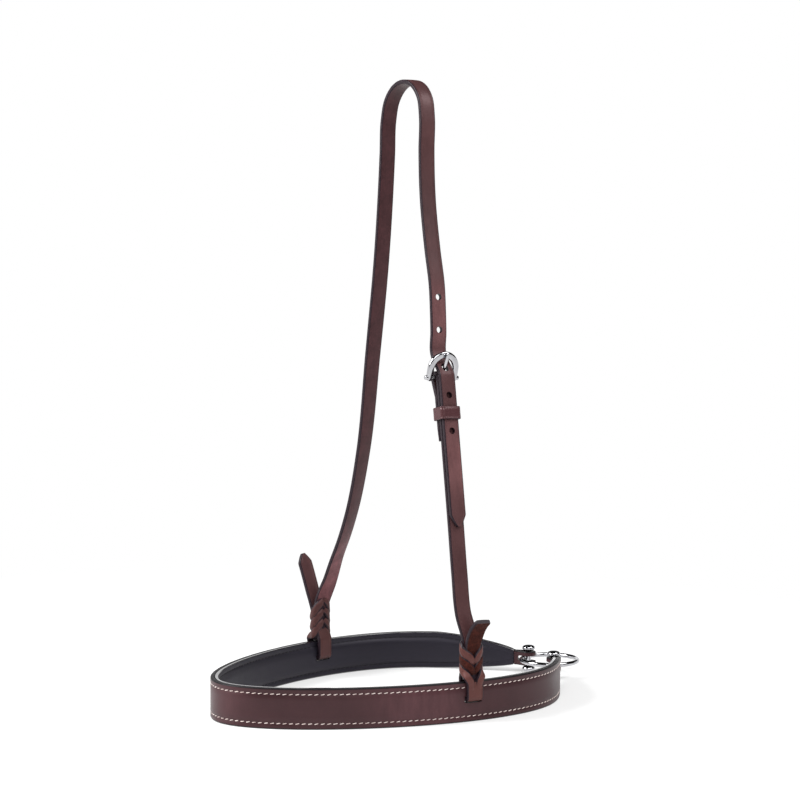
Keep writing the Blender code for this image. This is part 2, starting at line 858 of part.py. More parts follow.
def leg_y(height):
    return HANGER_Y + (height - PLAIT_TOP) * STRAP_LEAN_BACK


def buckle_axes():
    """Outward, rearward and upward directions of the straight run at the buckle."""
    upward = Vector((-NEAR_LEAN, STRAP_LEAN_BACK, 1.0)).normalized()
    rearward = across_strap(upward)
    return rearward.cross(upward), rearward, upward


def buckle_place(out, up, rear=0.0):
    """Point at the buckle: out from the cheek strap's middle and up from the bar."""
    outward, rearward, upward = buckle_axes()
    place = Vector((HEADPIECE_X + BUCKLE_OUT, leg_y(BUCKLE_HEIGHT), BUCKLE_HEIGHT))
    return place + outward * out + upward * up + rearward * rear


def make_cheek_strap():
    knots = plait_exit(1) + leg_points(CHEEK_LEG, 1, PLAIT_TOP, BUCKLE_HEIGHT)
    straight = (-BILLET_TAIL, -0.5 * BILLET_TAIL, -FOLD_CLOSE, 0.0)
    knots += [buckle_place(0.0, up) for up in straight]
    points = smooth_curve(knots, STRAP_STEP)
    fold = fold_points(BAR_DEPTH, FOLD_CLOSE, LAYER)
    points += [buckle_place(p.x - BAR_DEPTH, p.y) for p in fold[1:]]
    run = FOLD_BACK - FOLD_CLOSE
    points += [buckle_place(-LAYER, -FOLD_CLOSE - run * k / 3.0) for k in (1, 2, 3)]
    cheek = strap("cheek_strap", points)
    outward, rearward, upward = buckle_axes()
    size = (4.0 * BILLET_TURN_RADIUS, TONGUE_SLOT_WIDTH, TONGUE_SLOT_LENGTH)
    middle = buckle_place(-BAR_DEPTH, TONGUE_SLOT_RISE)
    slot = box("tongue_slot", size, axes_matrix(outward, rearward, upward, middle))
    combine(cheek, slot, "DIFFERENCE")
    combine(cheek, make_hanger_loop(1), "UNION")
    combine(cheek, make_plait(1), "UNION")
    combine(cheek, make_tail(1, NEAR_TAIL, NEAR_TAIL_LENGTH, 0.0), "UNION")
    return finish(outer_skin(cheek), STRAP_LEATHER)


def billet_crossing():
    """Where the billet leaves its turn over the bar, in the buckle's own out and up."""
    out = BILLET_TURN_RADIUS * math.cos(BILLET_CROSSING) - BAR_DEPTH
    up = BILLET_TURN_RADIUS * math.sin(BILLET_CROSSING)
    return out, up


def billet_points():
    """Billet from above the buckle down through the frame, over the bar and along the cheek strap."""
    out, up = billet_crossing()
    slope_out = -math.sin(BILLET_CROSSING)
    slope_up = math.cos(BILLET_CROSSING)
    points = [buckle_place(FRAME_HEIGHT * x, FRAME_HEIGHT * y) for x, y in reversed(BILLET_RETURN)]
    run, back = (FRAME_HEIGHT * share for share in BILLET_BEND)
    points.append(buckle_place(out + slope_out * run + back, up + slope_up * run))
    for share in reversed(BILLET_STRAIGHT):
        run = FRAME_HEIGHT * share
        points.append(buckle_place(out + slope_out * run, up + slope_up * run))
    for k in (4, 3, 2, 1):
        angle = BILLET_CROSSING * k / 4.0
        points.append(
            buckle_place(
                BILLET_TURN_RADIUS * math.cos(angle) - BAR_DEPTH, BILLET_TURN_RADIUS * math.sin(angle)
            )
        )
    return points


def make_crown_strap():
    arc_z = CROWN_HEIGHT - CROWN_RADIUS
    knots = plait_exit(-1) + leg_points(OFF_LEG, -1, PLAIT_TOP, arc_z)
    for k in range(7):
        angle = math.pi * (1.0 - k / 6.0)
        height = arc_z + CROWN_RADIUS * math.sin(angle)
        out = HEADPIECE_X + CROWN_RADIUS * math.cos(angle)
        knots.append(Vector((out, leg_y(height), height)))
    billet = billet_points()
    knots += leg_points(UPPER_NEAR_LEG, 1, billet[0].z, arc_z)
    points = smooth_curve(knots + billet, STRAP_STEP)
    run = BILLET_TAIL - BILLET_POINT
    points += [buckle_place(LAYER, -run * k / 9.0) for k in range(1, 10)]
    points.append(buckle_place(LAYER, -BILLET_TAIL))
    crown = strap("crown_strap", points, point_length=BILLET_POINT * 1.001)
    punch_billet(crown, points)
    combine(crown, make_hanger_loop(-1), "UNION")
    combine(crown, make_plait(-1), "UNION")
    combine(crown, make_tail(-1, OFF_TAIL, OFF_TAIL_LENGTH, TAIL_POINT), "UNION")
    return finish(outer_skin(crown), STRAP_LEATHER)


def tongue_crossing():
    """Run along the billet, past its turn over the bar, where the resting tongue goes through it."""
    out, up = billet_crossing()
    tongue = FRAME_TILT + TONGUE_RISE
    across_tongue = (out + BAR_DEPTH) * math.cos(tongue) - up * math.sin(tongue)
    return across_tongue / math.sin(BILLET_CROSSING + tongue)


def punch_billet(crown, points):
    """Round holes either side of the one that the tongue has drawn out long.

    Those above the frame stand farther along, by the leather that the bend behind the frame takes up.
    """
    route = Route(list(reversed(points)))
    turn_length = BILLET_TURN_RADIUS * BILLET_CROSSING
    tongue_reach = BILLET_TAIL + turn_length + tongue_crossing()
    for count in range(-HOLES_BELOW, HOLES_ABOVE + 1):
        lead = HOLE_LEAD if count > 0 else 0.0
        point, direction = route.at(tongue_reach + count * HOLE_PITCH + lead)
        rearward = across_strap(direction)
        matrix = axes_matrix(direction, rearward, direction.cross(rearward), point)
        depth = 3.0 * STRAP_THICKNESS
        if count == 0:
            straight = TONGUE_HOLE_LENGTH - 2.0 * HOLE_RADIUS
            hole = box("hole", (straight, 2.0 * HOLE_RADIUS, depth), matrix)
            for end in (-0.5, 0.5):
                place = matrix @ Matrix.Translation((straight * end, 0.0, 0.0))
                combine(hole, cylinder("end", HOLE_RADIUS * 1.001, depth * 1.1, place), "UNION")
        else:
            hole = cylinder("hole", HOLE_RADIUS, depth, matrix)
        combine(crown, hole, "DIFFERENCE")


# Buckle and keeper


def outline_mesh(name, loops, thickness, matrix):
    """Flat piece from closed plane outlines."""
    curve = bpy.data.curves.new(name, "CURVE")
    curve.dimensions = "2D"
    curve.fill_mode = "BOTH"
    curve.extrude = thickness / 2.0
    for loop in loops:
        spline = curve.splines.new("POLY")
        spline.points.add(len(loop) - 1)
        for place, (x, y) in zip(spline.points, loop):
            place.co = (x, y, 0.0, 1.0)
        spline.use_cyclic_u = True
    return face_outward(settle(add_object(name, curve, matrix)))


def arc(centre, radius, start, end, steps):
    return [
        (
            centre[0] + radius * math.cos(start + (end - start) * k / steps),
            centre[1] + radius * math.sin(start + (end - start) * k / steps),
        )
        for k in range(steps + 1)
    ]


def frame_matrix(extra_tilt=0.0):
    """X across the strap, Y up the frame, Z out of the frame's face, on the bar's axis."""
    outward, rearward, upward = buckle_axes()
    tilt = FRAME_TILT + extra_tilt
    rise = outward * math.sin(tilt) + upward * math.cos(tilt)
    face = outward * math.cos(tilt) - upward * math.sin(tilt)
    return axes_matrix(rearward, rise, face, buckle_place(-BAR_DEPTH, 0.0))


def make_buckle_frame():
    outer = FRAME_WIDTH / 2.0
    inner = outer - FRAME_BAND
    leg = (outer + inner) / 2.0
    centre = (0.0, FRAME_LEG_RISE)
    loop = arc(centre, outer, 0.0, math.pi, 20)
    loop += arc((-leg, 0.0), FRAME_BAND / 2.0, math.pi, 2.0 * math.pi, 6)
    loop += arc(centre, inner, math.pi, 0.0, 16)
    loop += arc((leg, 0.0), FRAME_BAND / 2.0, math.pi, 2.0 * math.pi, 6)
    matrix = frame_matrix()
    frame = outline_mesh("buckle_frame", [loop], FRAME_THICKNESS, matrix)
    ease = frame.modifiers.new("edges", "BEVEL")
    ease.width = FRAME_EASE
    ease.segments = 2
    ease.limit_method = "ANGLE"
    ease.angle_limit = math.radians(60.0)
    settle(frame)
    lie_across = Matrix.Rotation(math.pi / 2.0, 4, "Y")
    bar = cylinder("bar", BAR_RADIUS, FRAME_WIDTH + 2.0 * BAR_PROUD, matrix @ lie_across)
    combine(frame, bar, "UNION")
    return finish(frame, STEEL)


def make_buckle_tongue():
    matrix = frame_matrix(TONGUE_RISE)
    eye_radius = BAR_RADIUS + FIT + TONGUE_EYE_WIRE
    reach = FRAME_HEIGHT + TONGUE_OVERHANG
    curve = bpy.data.curves.new("buckle_tongue", "CURVE")
    curve.dimensions = "3D"
    curve.bevel_depth = TONGUE_RADIUS
    curve.bevel_resolution = 2
    curve.use_fill_caps = True
    stops = ((eye_radius, 1.0), (reach * 0.6, 1.0), (reach * 0.92, 0.9), (reach, 0.55))
    spline = curve.splines.new("POLY")
    spline.points.add(len(stops) - 1)
    for place, (up, share) in zip(spline.points, stops):
        place.co = (0.0, up, 0.0, 1.0)
        place.radius = share
    tongue = face_outward(settle(add_object("buckle_tongue", curve, matrix)))
    turns = [2.0 * math.pi * k / 8 for k in range(8)]
    section = [Vector((math.cos(turn), math.sin(turn))) * TONGUE_EYE_WIRE for turn in turns]
    mesh = bpy.data.meshes.new("eye")
    bm = bmesh.new()
    verts = [bm.verts.new((p.x, eye_radius + p.y, 0.0)) for p in section]
    edges = [bm.edges.new((verts[k], verts[(k + 1) % 8])) for k in range(8)]
    bmesh.ops.spin(
        bm, geom=verts + edges, cent=(0, 0, 0), axis=(1, 0, 0), angle=2.0 * math.pi, steps=20,
        use_merge=True,
    )
    bmesh.ops.recalc_face_normals(bm, faces=bm.faces)
    bm.to_mesh(mesh)
    bm.free()
    combine(tongue, add_object("eye", mesh, matrix), "UNION")
    return finish(tongue, STEEL)


def rounded_rectangle(half_x, half_y, corner):
    loop = []
    for quarter, (sx, sy) in enumerate(((1, 1), (-1, 1), (-1, -1), (1, -1))):
        centre = (sx * (half_x - corner), sy * (half_y - corner))
        start = quarter * math.pi / 2.0
        loop += arc(centre, corner, start, start + math.pi / 2.0, 4)
    return loop


def make_keeper():
    outward, rearward, upward = buckle_axes()
    half_depth = LAYER + STRAP_THICKNESS / 2.0 + FIT
    half_width = STRAP_WIDTH / 2.0 + KEEPER_SIDE_FIT
    inner = rounded_rectangle(half_depth, half_width, KEEPER_CORNER)
    outer = rounded_rectangle(
        half_depth + KEEPER_THICKNESS, half_width + KEEPER_THICKNESS, KEEPER_CORNER + KEEPER_THICKNESS
    )
    matrix = axes_matrix(outward, rearward, upward, buckle_place(0.0, -KEEPER_BELOW_BAR))
    return finish(outline_mesh("keeper", [outer, inner], KEEPER_HEIGHT, matrix), KEEPER_LEATHER)


def hang_on(name, place, pieces):
    """Gives the pieces a parent on the axis that they turn about."""
    pivot = bpy.data.objects.new(name, None)
    PARTS.objects.link(pivot)
    pivot.matrix_world = place
    bpy.context.view_layer.update()
    for piece in pieces:
        piece.parent = pivot
        piece.matrix_parent_inverse = place.inverted()


def build():
    make_band_leather()
    make_band_padding()
    make_band_lining()
    make_ring()
    make_pin("near_toggle_pin", 1)
    make_pin("off_toggle_pin", -1)
    cheek = make_cheek_strap()
    crown = make_crown_strap()
    keeper = make_keeper()
    frame = make_buckle_frame()
    tongue = make_buckle_tongue()
    slots = TURNED @ Matrix.Translation((0.0, HANGER_Y, SLOT_HEIGHT_ON_BAND))
    hang_on("headpiece_pivot", slots, [cheek, crown, keeper, frame, tongue])


clear_scene()
PARTS = make_collection(OBJECT_NAME)
BRIDLE_LEATHER = make_material("bridle_leather", (0.075, 0.036, 0.038), 0.42)
STRAP_LEATHER = make_material("strap_leather", (0.120, 0.058, 0.055), 0.45)
KEEPER_LEATHER = make_material("keeper_leather", (0.085, 0.030, 0.032), 0.35)
LINING_LEATHER = make_material("lining_leather", (0.022, 0.020, 0.023), 0.5)
FELT = make_material("felt", (0.35, 0.33, 0.30), 0.95)
STEEL = make_material("polished_steel", (0.80, 0.80, 0.82), 0.12, 1.0)
build()
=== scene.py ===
"""Noseband with headpiece: sewn leather, slit plaits and polished fittings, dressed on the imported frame.

Metres, in the frame's own axes: +Z up, the nose at -Y, the near cheek at +X.
"""

import math
import random

import bmesh
import bpy
from mathutils import Matrix, Vector, noise


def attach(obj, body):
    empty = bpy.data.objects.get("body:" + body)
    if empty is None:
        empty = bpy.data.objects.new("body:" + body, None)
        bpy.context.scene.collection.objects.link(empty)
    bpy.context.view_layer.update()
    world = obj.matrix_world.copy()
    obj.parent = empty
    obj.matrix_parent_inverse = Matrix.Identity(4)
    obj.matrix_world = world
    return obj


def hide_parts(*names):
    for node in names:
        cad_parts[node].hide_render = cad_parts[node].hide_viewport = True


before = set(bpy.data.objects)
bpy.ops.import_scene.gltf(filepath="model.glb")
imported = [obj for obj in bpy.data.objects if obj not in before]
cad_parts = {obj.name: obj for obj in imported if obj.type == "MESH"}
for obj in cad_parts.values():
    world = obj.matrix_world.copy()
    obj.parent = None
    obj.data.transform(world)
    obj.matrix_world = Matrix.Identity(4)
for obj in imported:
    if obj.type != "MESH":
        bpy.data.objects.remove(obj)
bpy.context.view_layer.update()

# Clearances and sizes that the frame has too
FIT = 0.0003
SLOT_SIDE_FIT = 0.0006
SLIT_FIT = 0.0004
RETURN_FIT = 0.0004
HANGER_FIT = 0.0005

BAND_WIDTH = 0.0286
STRIP_THICKNESS = 0.0032
PADDING_THICKNESS = 0.0012
PADDING_STOP = 0.0132
PADDING_FADE = 0.0240
LINING_THICKNESS = 0.0022

HALF_WIDTH = 0.1010
WIDEST_Y = 0.1722
NOSE_HANDLE = 0.0450
HANDLE_BEFORE_WIDEST = 0.0749
HANDLE_AFTER_WIDEST = 0.0744
TAB_HANDLE = 0.0550
TAB_ANGLE = math.radians(134.0)

TAB_WIDTH = 0.0111
TAB_DROP = 0.0030
TAPER_LENGTH = 0.065
TAPER_POWER = 1.37
TAB_CLOSE = 0.0085
TAB_RETURN = 0.0025

RING_RADIUS = 0.0220
RING_WIRE_RADIUS = 0.0018
RING_Y = 0.3006
PIN_SET_FORWARD = 0.0085
PIN_RADIUS = 0.0022
KNOB_RADIUS = 0.0052
KNOB_HALF_HEIGHT = 0.0024

STRAP_WIDTH = 0.0127
STRAP_THICKNESS = 0.0031

HANGER_Y = 0.148
BAND_TURN = math.radians(3.5)
SLOT_HEIGHT_ON_BAND = 0.0160
HEADPIECE_SWING = math.radians(5.0)
HANGER_BEND_RADIUS = 0.0019
PLAIT_GAP = 0.0019
PLAIT_PITCH = 0.0088
PLAIT_ROWS = 3
PLAIT_HALF_WIDTH = 0.0087
PLAIT_HALF_DEPTH = 0.0054
PLAIT_RISE = 0.0130
NEAR_TAIL_LENGTH = 0.0290
OFF_TAIL_LENGTH = 0.0520
TAIL_POINT = 0.0070
NEAR_TAIL = ((0.0, 0.03, 0.0), (0.30, 0.07, 0.0), (0.55, 0.14, 0.02), (0.80, 0.28, 0.04), (1.0, 0.50, 0.06))
OFF_TAIL = ((0.00, 0.02, 0.0), (0.20, 0.06, -0.01), (0.50, 0.15, -0.03), (1.00, 0.31, -0.07))

STRAP_LEAN_BACK = 0.0368
CROWN_HEIGHT = 0.4565
CROWN_RADIUS = 0.0265
OFF_LEG = (
    (0.054, 0.926), (0.104, 0.832), (0.158, 0.713), (0.211, 0.619), (0.337, 0.480),
    (0.532, 0.386), (0.727, 0.302), (0.933, 0.265),
)
CHEEK_LEG = ((0.118, 0.936), (0.258, 0.876))
UPPER_NEAR_LEG = ((0.795, 0.272), (0.525, 0.307), (0.220, 0.391))

BUCKLE_OUT = 0.0603
BUCKLE_HEIGHT = 0.2420
NEAR_LEAN = 0.205
BAR_RADIUS = 0.0016
BAR_PROUD = 0.0015
FRAME_BAND = 0.0050
FRAME_SIDE_FIT = 0.0014
FRAME_LEG_RISE = 0.00675
FRAME_THICKNESS = 0.0034
FRAME_EASE = 0.0011
FRAME_TILT = math.radians(25.0)
TONGUE_RADIUS = 0.0012
TONGUE_EYE_WIRE = 0.0011
TONGUE_OVERHANG = 0.0004
FOLD_CLOSE = 0.0140
FOLD_BACK = 0.0460
TONGUE_SLOT_WIDTH = 0.0034
TONGUE_SLOT_LENGTH = 0.0122
TONGUE_SLOT_RISE = 0.0006

BILLET_TAIL = 0.1080
BILLET_POINT = 0.0085
BILLET_STRAIGHT = (0.28, 0.54)
BILLET_BEND = (0.85, 0.06)
BILLET_RETURN = ((-0.14, 1.70), (-0.06, 2.46), (0.0, 3.38))
HOLE_PITCH = 0.0235
TONGUE_HOLE_LENGTH = 0.0072

KEEPER_THICKNESS = 0.0016
KEEPER_BELOW_BAR = 0.0265
KEEPER_SIDE_FIT = 0.0005
KEEPER_CORNER = 0.0012

# Sizes that follow the photograph more closely than the frame's solids do
KEEPER_HEIGHT = 0.0093
KEEPER_BOW = 0.0005
HOLE_RADIUS = 0.0024
HOLE_LEADS = {-2: 0.0010, -1: 0.0032, 0: 0.0, 1: 0.0072, 2: 0.0073}
OFF_TWIST = math.radians(17.0)
TWIST_LOW = 0.062
TWIST_MOST = 0.104
TWIST_HIGH = 0.300

# Dressing that only the scene has; in the pairs, 1 is the near side and -1 the off side
BAND_STEP = 0.0022
LINING_STEP = 0.0015
PADDING_STEP = 0.0040
STRAP_STEP = 0.0030
STRAND_STEP = 0.0009
TAIL_STEP = 0.0010
BEND_STEP = math.radians(9.0)
FOLD_STEP = math.radians(8.0)
EDGE_ROUND = 0.0008
GROOVE_INSET = 0.0040
GROOVE_HALF = 0.0009
GROOVE_DEPTH = 0.00040
GROOVE_MIDDLE = 1.15
GROOVE_END_HALF = 0.0065
GROOVE_FADE = 0.0040
STITCH_END = 0.0040
STITCH_HALF_HEIGHT = 0.0098
STITCH_PITCH = 0.0044
STITCH_LENGTH = 0.0031
TAB_STITCH_PITCH = 0.0031
TAB_STITCH_LENGTH = 0.0023
THREAD_RADIUS = 0.00031
PUCKER = 0.00010
CREASE_INSET = 0.0016
CREASE_HALF = 0.0003
CREASE_DEPTH = 0.00016
STRAP_CROWN = 0.00010
STRAP_EDGE = 0.0008
ROW_FOOT = {1: 0.0306, -1: 0.0290}
ROW_STEP = {1: 0.0070, -1: 0.0080}
FIRST_ROW_LIFT = {1: 0.0, -1: 0.0012}
EDGE_RISE = {1: 0.0068, -1: 0.0050}
BACK_RISE = {1: 0.0124, -1: 0.0160}
STRAND_HALF_THICKNESS = 0.00165
WELD_SWELL = 0.035
WELD_SPREAD = 0.03

LEATHER_TINT = (1.0, 0.74, 0.76, 1.0)
LINING_TINT = (0.9, 0.86, 1.0, 1.0)
WHITE = (1.0, 1.0, 1.0, 1.0)

UP = Vector((0.0, 0.0, 1.0))
REAR = Vector((0.0, 1.0, 0.0))
FACE, EDGE, BACK = 0, 1, 2


# Nodes of a material


def new_node(tree, kind, sockets=None, **settings):
    """A node in a tree: each socket is joined to an output, or set to a value."""
    made = tree.nodes.new(kind)
    for key, value in settings.items():
        setattr(made, key, value)
    for key, value in (sockets or {}).items():
        if isinstance(value, bpy.types.NodeSocket):
            tree.links.new(value, made.inputs[key])
        else:
            made.inputs[key].default_value = value
    return made


class Look:
    """A material under construction: short calls to add and join its nodes."""

    def __init__(self, name):
        self.material = bpy.data.materials.new(name)
        self.material.use_nodes = True
        self.tree = self.material.node_tree
        self.shader = self.tree.nodes["Principled BSDF"]
        self.place = self.node("ShaderNodeTexCoord").outputs["Object"]

    def node(self, kind, sockets=None, **settings):
        return new_node(self.tree, kind, sockets, **settings)

    def noise(self, scale, detail=4.0, roughness=0.55, place=None):
        sockets = {"Scale": scale, "Detail": detail, "Roughness": roughness, "Vector": place or self.place}
        return self.node("ShaderNodeTexNoise", sockets).outputs["Fac"]

    def cells(self, scale):
        sockets = {"Scale": scale, "Vector": self.place}
        return self.node("ShaderNodeTexVoronoi", sockets, feature="DISTANCE_TO_EDGE").outputs["Distance"]

    def stretched(self, scale):
        return self.node("ShaderNodeMapping", {"Scale": scale, "Vector": self.place}).outputs["Vector"]

    def span(self, value, low, high, new_low, new_high, **settings):
        sockets = {"From Min": low, "From Max": high, "To Min": new_low, "To Max": new_high, "Value": value}
        return self.node("ShaderNodeMapRange", sockets, **settings).outputs["Result"]

    def ramp(self, value, *stops):
        made = self.node("ShaderNodeValToRGB", {"Fac": value})
        elements = made.color_ramp.elements
        while len(elements) < len(stops):
            elements.new(0.5)
        for element, (position, colour) in zip(elements, stops):
            element.position = position
            element.color = (*colour, 1.0)
        return made.outputs["Color"]

    def sum(self, a, b, share):
        """The first value and a share of the second."""
        return self.node("ShaderNodeMath", {0: b, 1: share, 2: a}, operation="MULTIPLY_ADD").outputs["Value"]

    def drive(self, socket, output):
        self.tree.links.new(output, self.shader.inputs[socket])

    def bump(self, height, depth, strength):
        sockets = {"Distance": depth, "Strength": strength, "Height": height}
        self.drive("Normal", self.node("ShaderNodeBump", sockets).outputs["Normal"])

    def set(self, **values):
        for key, value in values.items():
            self.shader.inputs[key.replace("_", " ")].default_value = value


def shaded(colour, share):
    return tuple(channel * share for channel in colour)


def dye_with_painted_sheen_and_shade(look, dye, spots):
    """The dye with soft spots of (centre, radius, gain): paler painted sheen where the gain is above zero,
    else darker painted shade.
    """
    total = None
    for centre, radius, gain in spots:
        away = look.node("ShaderNodeVectorMath", {0: look.place, 1: centre}, operation="DISTANCE")
        spot = look.span(away.outputs["Value"], radius, 0.0, 0.0, gain, interpolation_type="SMOOTHSTEP")
        total = spot if total is None else look.sum(total, spot, 1.0)
    streaks = look.noise(60.0, 4.0, 0.6, look.stretched((3.0, 3.0, 0.8)))
    uneven = look.span(streaks, 0.3, 0.7, 0.55, 1.45)
    share = look.node("ShaderNodeMath", {0: total, 1: uneven, 2: 1.0}, operation="MULTIPLY_ADD")
    sockets = {0: dye, "Scale": share.outputs["Value"]}
    return look.node("ShaderNodeVectorMath", sockets, operation="SCALE").outputs["Vector"]


def grain_leather(name, colour, rough_low, rough_high, tint=LEATHER_TINT, painted_sheen_and_shade=()):
    """Smooth dyed leather: cloudy dye, fine pebbled grain and a waxed, uneven sheen, with any spots of
    painted sheen and shade that are given.
    """
    look = Look(name)
    clouds = look.noise(34.0, 5.0, 0.6)
    specks = look.noise(900.0, 3.0, 0.6)
    stops = ((0.42, shaded(colour, 0.82)), (0.64, colour), (0.88, shaded(colour, 1.24)))
    dye = look.ramp(look.sum(clouds, specks, 0.3), *stops)
    look.drive("Base Color", dye_with_painted_sheen_and_shade(look, dye, painted_sheen_and_shade) if painted_sheen_and_shade else dye)
    look.drive("Roughness", look.span(look.sum(clouds, specks, 0.35), 0.4, 0.9, rough_low, rough_high))
    look.bump(look.sum(look.cells(1500.0), look.noise(3200.0, 2.0), 0.25), 0.00006, 0.5)
    look.set(Specular_IOR_Level=0.35, Specular_Tint=tint)
    return look.material


def flesh_leather(name, colour, painted_sheen_and_shade):
    """Flesh side of leather: short matted fibres and a dull, uneven dye, with spots of painted sheen and
    shade.
    """
    look = Look(name)
    clouds = look.noise(130.0, 5.0, 0.65)
    fibres = look.noise(1.0, 4.0, 0.7, look.stretched((1500.0, 1500.0, 420.0)))
    stops = ((0.55, shaded(colour, 0.65)), (1.10, shaded(colour, 1.4)))
    dye = look.ramp(look.sum(clouds, fibres, 0.7), *stops)
    look.drive("Base Color", dye_with_painted_sheen_and_shade(look, dye, painted_sheen_and_shade))
    look.bump(look.sum(fibres, look.noise(2400.0, 2.0), 0.5), 0.00004, 0.8)
    look.set(Roughness=0.42, Sheen_Weight=0.05, Sheen_Roughness=0.5)
    look.set(Specular_IOR_Level=0.32, Specular_Tint=LEATHER_TINT)
    return look.material


def suede_leather(name, colour):
    """Napped flesh side: short fibres in light and dark tufts."""
    look = Look(name)
    tufts = look.noise(1150.0, 5.0, 0.7)
    patches = look.noise(260.0, 3.0, 0.6)
    stops = ((0.55, shaded(colour, 0.45)), (0.80, colour), (1.05, shaded(colour, 1.9)))
    look.drive("Base Color", look.ramp(look.sum(tufts, patches, 0.6), *stops))
    look.bump(look.sum(tufts, look.noise(2200.0, 3.0), 0.6), 0.00035, 0.8)
    look.set(Roughness=0.92, Sheen_Weight=0.03, Sheen_Roughness=0.6)
    look.set(Specular_IOR_Level=0.1, Specular_Tint=LEATHER_TINT)
    return look.material


def edge_leather(name, dark, light, rough_low, rough_high, gloss, varnish=0.0):
    """Cut edge: dyed dark and burnished, with the layers of the hide faintly along it."""
    look = Look(name)
    layers = look.noise(1.0, 3.0, 0.6, look.stretched((700.0, 700.0, 1600.0)))
    look.drive("Base Color", look.ramp(layers, (0.35, dark), (0.75, light)))
    look.drive("Roughness", look.span(layers, 0.3, 0.7, rough_low, rough_high))
    look.bump(layers, 0.00003, 0.4)
    look.set(Specular_IOR_Level=gloss, Coat_Weight=varnish, Coat_Roughness=0.08, Coat_IOR=1.7)
    return look.material


def thread_look():
    """Waxed linen thread: pale, a little soiled, with its twist showing."""
    look = Look("waxed_thread")
    sockets = {"Scale": 900.0, "Distortion": 2.0, "Vector": look.place}
    twist = look.node("ShaderNodeTexWave", sockets, wave_type="BANDS", bands_direction="DIAGONAL")
    stops = ((0.32, (0.50, 0.37, 0.34)), (0.52, (0.74, 0.62, 0.58)), (0.7, (0.84, 0.75, 0.71)))
    look.drive("Base Color", look.ramp(look.noise(300.0), *stops))
    look.bump(twist.outputs["Fac"], 0.00012, 0.7)
    look.set(Roughness=0.6, Sheen_Weight=0.2)
    return look.material


def steel_look():
    """Polished stainless steel with hairline scratches and faint handling haze."""
    look = Look("polished_stainless_steel")
    haze = look.noise(170.0, 5.0, 0.6)
    hairs = look.noise(1.0, 3.0, 0.7, look.stretched((2600.0, 500.0, 2600.0)))
    look.drive("Base Color", look.ramp(haze, (0.3, (0.44, 0.44, 0.46)), (0.7, (0.56, 0.56, 0.58))))
    look.drive("Roughness", look.span(look.sum(haze, hairs, 0.5), 0.4, 1.0, 0.05, 0.14))
    look.bump(hairs, 0.000012, 0.35)
    look.set(Metallic=1.0)
    return look.material


def felt_look():
    """Undyed wool felt: matted fibres without a weave."""
    look = Look("wool_felt")
    clouds = look.noise(220.0, 5.0)
    fibres = look.noise(1900.0, 4.0, 0.75)
    look.drive("Base Color", look.ramp(clouds, (0.35, (0.30, 0.28, 0.25)), (0.7, (0.44, 0.42, 0.38))))
    look.bump(look.sum(fibres, clouds, 0.5), 0.0003, 0.8)
    look.set(Roughness=0.95, Sheen_Weight=0.4)
    return look.material


# Curves


def bezier(p0, p1, p2, p3, t):
    u = 1.0 - t
    return u**3 * p0 + 3 * u * u * t * p1 + 3 * u * t * t * p2 + t**3 * p3


def smooth_curve(knots, step):
    """Points along a smooth curve through the knots, no farther apart than the step."""
    gaps = [(b - a).length for a, b in zip(knots, knots[1:])]
    slopes = [(knots[1] - knots[0]) / gaps[0]]
    for i in range(1, len(knots) - 1):
        before = (knots[i] - knots[i - 1]) / gaps[i - 1]
        after = (knots[i + 1] - knots[i]) / gaps[i]
        slopes.append((before * gaps[i] + after * gaps[i - 1]) / (gaps[i - 1] + gaps[i]))
    slopes.append((knots[-1] - knots[-2]) / gaps[-1])
    points = [knots[0].copy()]
    for i, gap in enumerate(gaps):
        lead = knots[i] + slopes[i] * gap / 3.0
        trail = knots[i + 1] - slopes[i + 1] * gap / 3.0
        pieces = max(1, math.ceil(gap / step))
        points += [bezier(knots[i], lead, trail, knots[i + 1], k / pieces) for k in range(1, pieces + 1)]
    return points


def filleted(corners, radius):
    """Straight runs between the corners, with an arc at each inner corner."""
    points = [corners[0]]
    for before, corner, after in zip(corners, corners[1:], corners[2:]):
        arriving = (corner - before).normalized()
        leaving = (after - corner).normalized()
        turn = arriving.angle(leaving)
        start = corner - arriving * (radius * math.tan(turn / 2.0))
        side = (leaving - arriving * arriving.dot(leaving)).normalized()
        centre = start + side * radius
        steps = max(2, math.ceil(turn / BEND_STEP))
        for k in range(steps + 1):
            angle = turn * k / steps
            points.append(centre - side * radius * math.cos(angle) + arriving * radius * math.sin(angle))
    points.append(corners[-1])
    return points


def fold_points(radius, closing_run, layer_step):
    """Plane route of a strap round a bar at (0, 0): from beside the bar, round it and back to the strap."""
    end = Vector((radius - layer_step, -closing_run))
    turn = math.atan2(end.y, end.x) + 2.0 * math.pi - math.acos(radius / end.length)
    steps = math.ceil(turn / FOLD_STEP)
    turns = [turn * k / steps for k in range(steps + 1)]
    points = [Vector((radius * math.cos(angle), radius * math.sin(angle))) for angle in turns]
    return points + [points[-1].lerp(end, share) for share in (0.3, 0.6, 0.85, 1.0)]


class Route:
    """A dense run of points that is read by its length from the first one."""

    def __init__(self, points):
        self.points = points
        self.reach = [0.0]
        for a, b in zip(points, points[1:]):
            self.reach.append(self.reach[-1] + (b - a).length)
        self.length = self.reach[-1]

    def find(self, distance):
        """Number of the point that ends the stretch at this distance, and the share of the stretch before."""
        index = 1
        while index < len(self.points) - 1 and self.reach[index] < distance:
            index += 1
        return index, (distance - self.reach[index - 1]) / (self.reach[index] - self.reach[index - 1])

    def at(self, distance):
        index, share = self.find(distance)
        a = self.points[index - 1]
        b = self.points[index]
        return a.lerp(b, share), (b - a).normalized()


def run_left(points):
    """For each point, the length that is left to the last one."""
    return Route(points[::-1]).reach[::-1]


def directions(points):
    before = [points[0]] + points[:-1]
    after = points[1:] + [points[-1]]
    return [(b - a).normalized() for a, b in zip(before, after)]


def circle(count):
    """Cosines and sines of even steps round a full turn."""
    turns = [2.0 * math.pi * k / count for k in range(count)]
    return [(math.cos(turn), math.sin(turn)) for turn in turns]


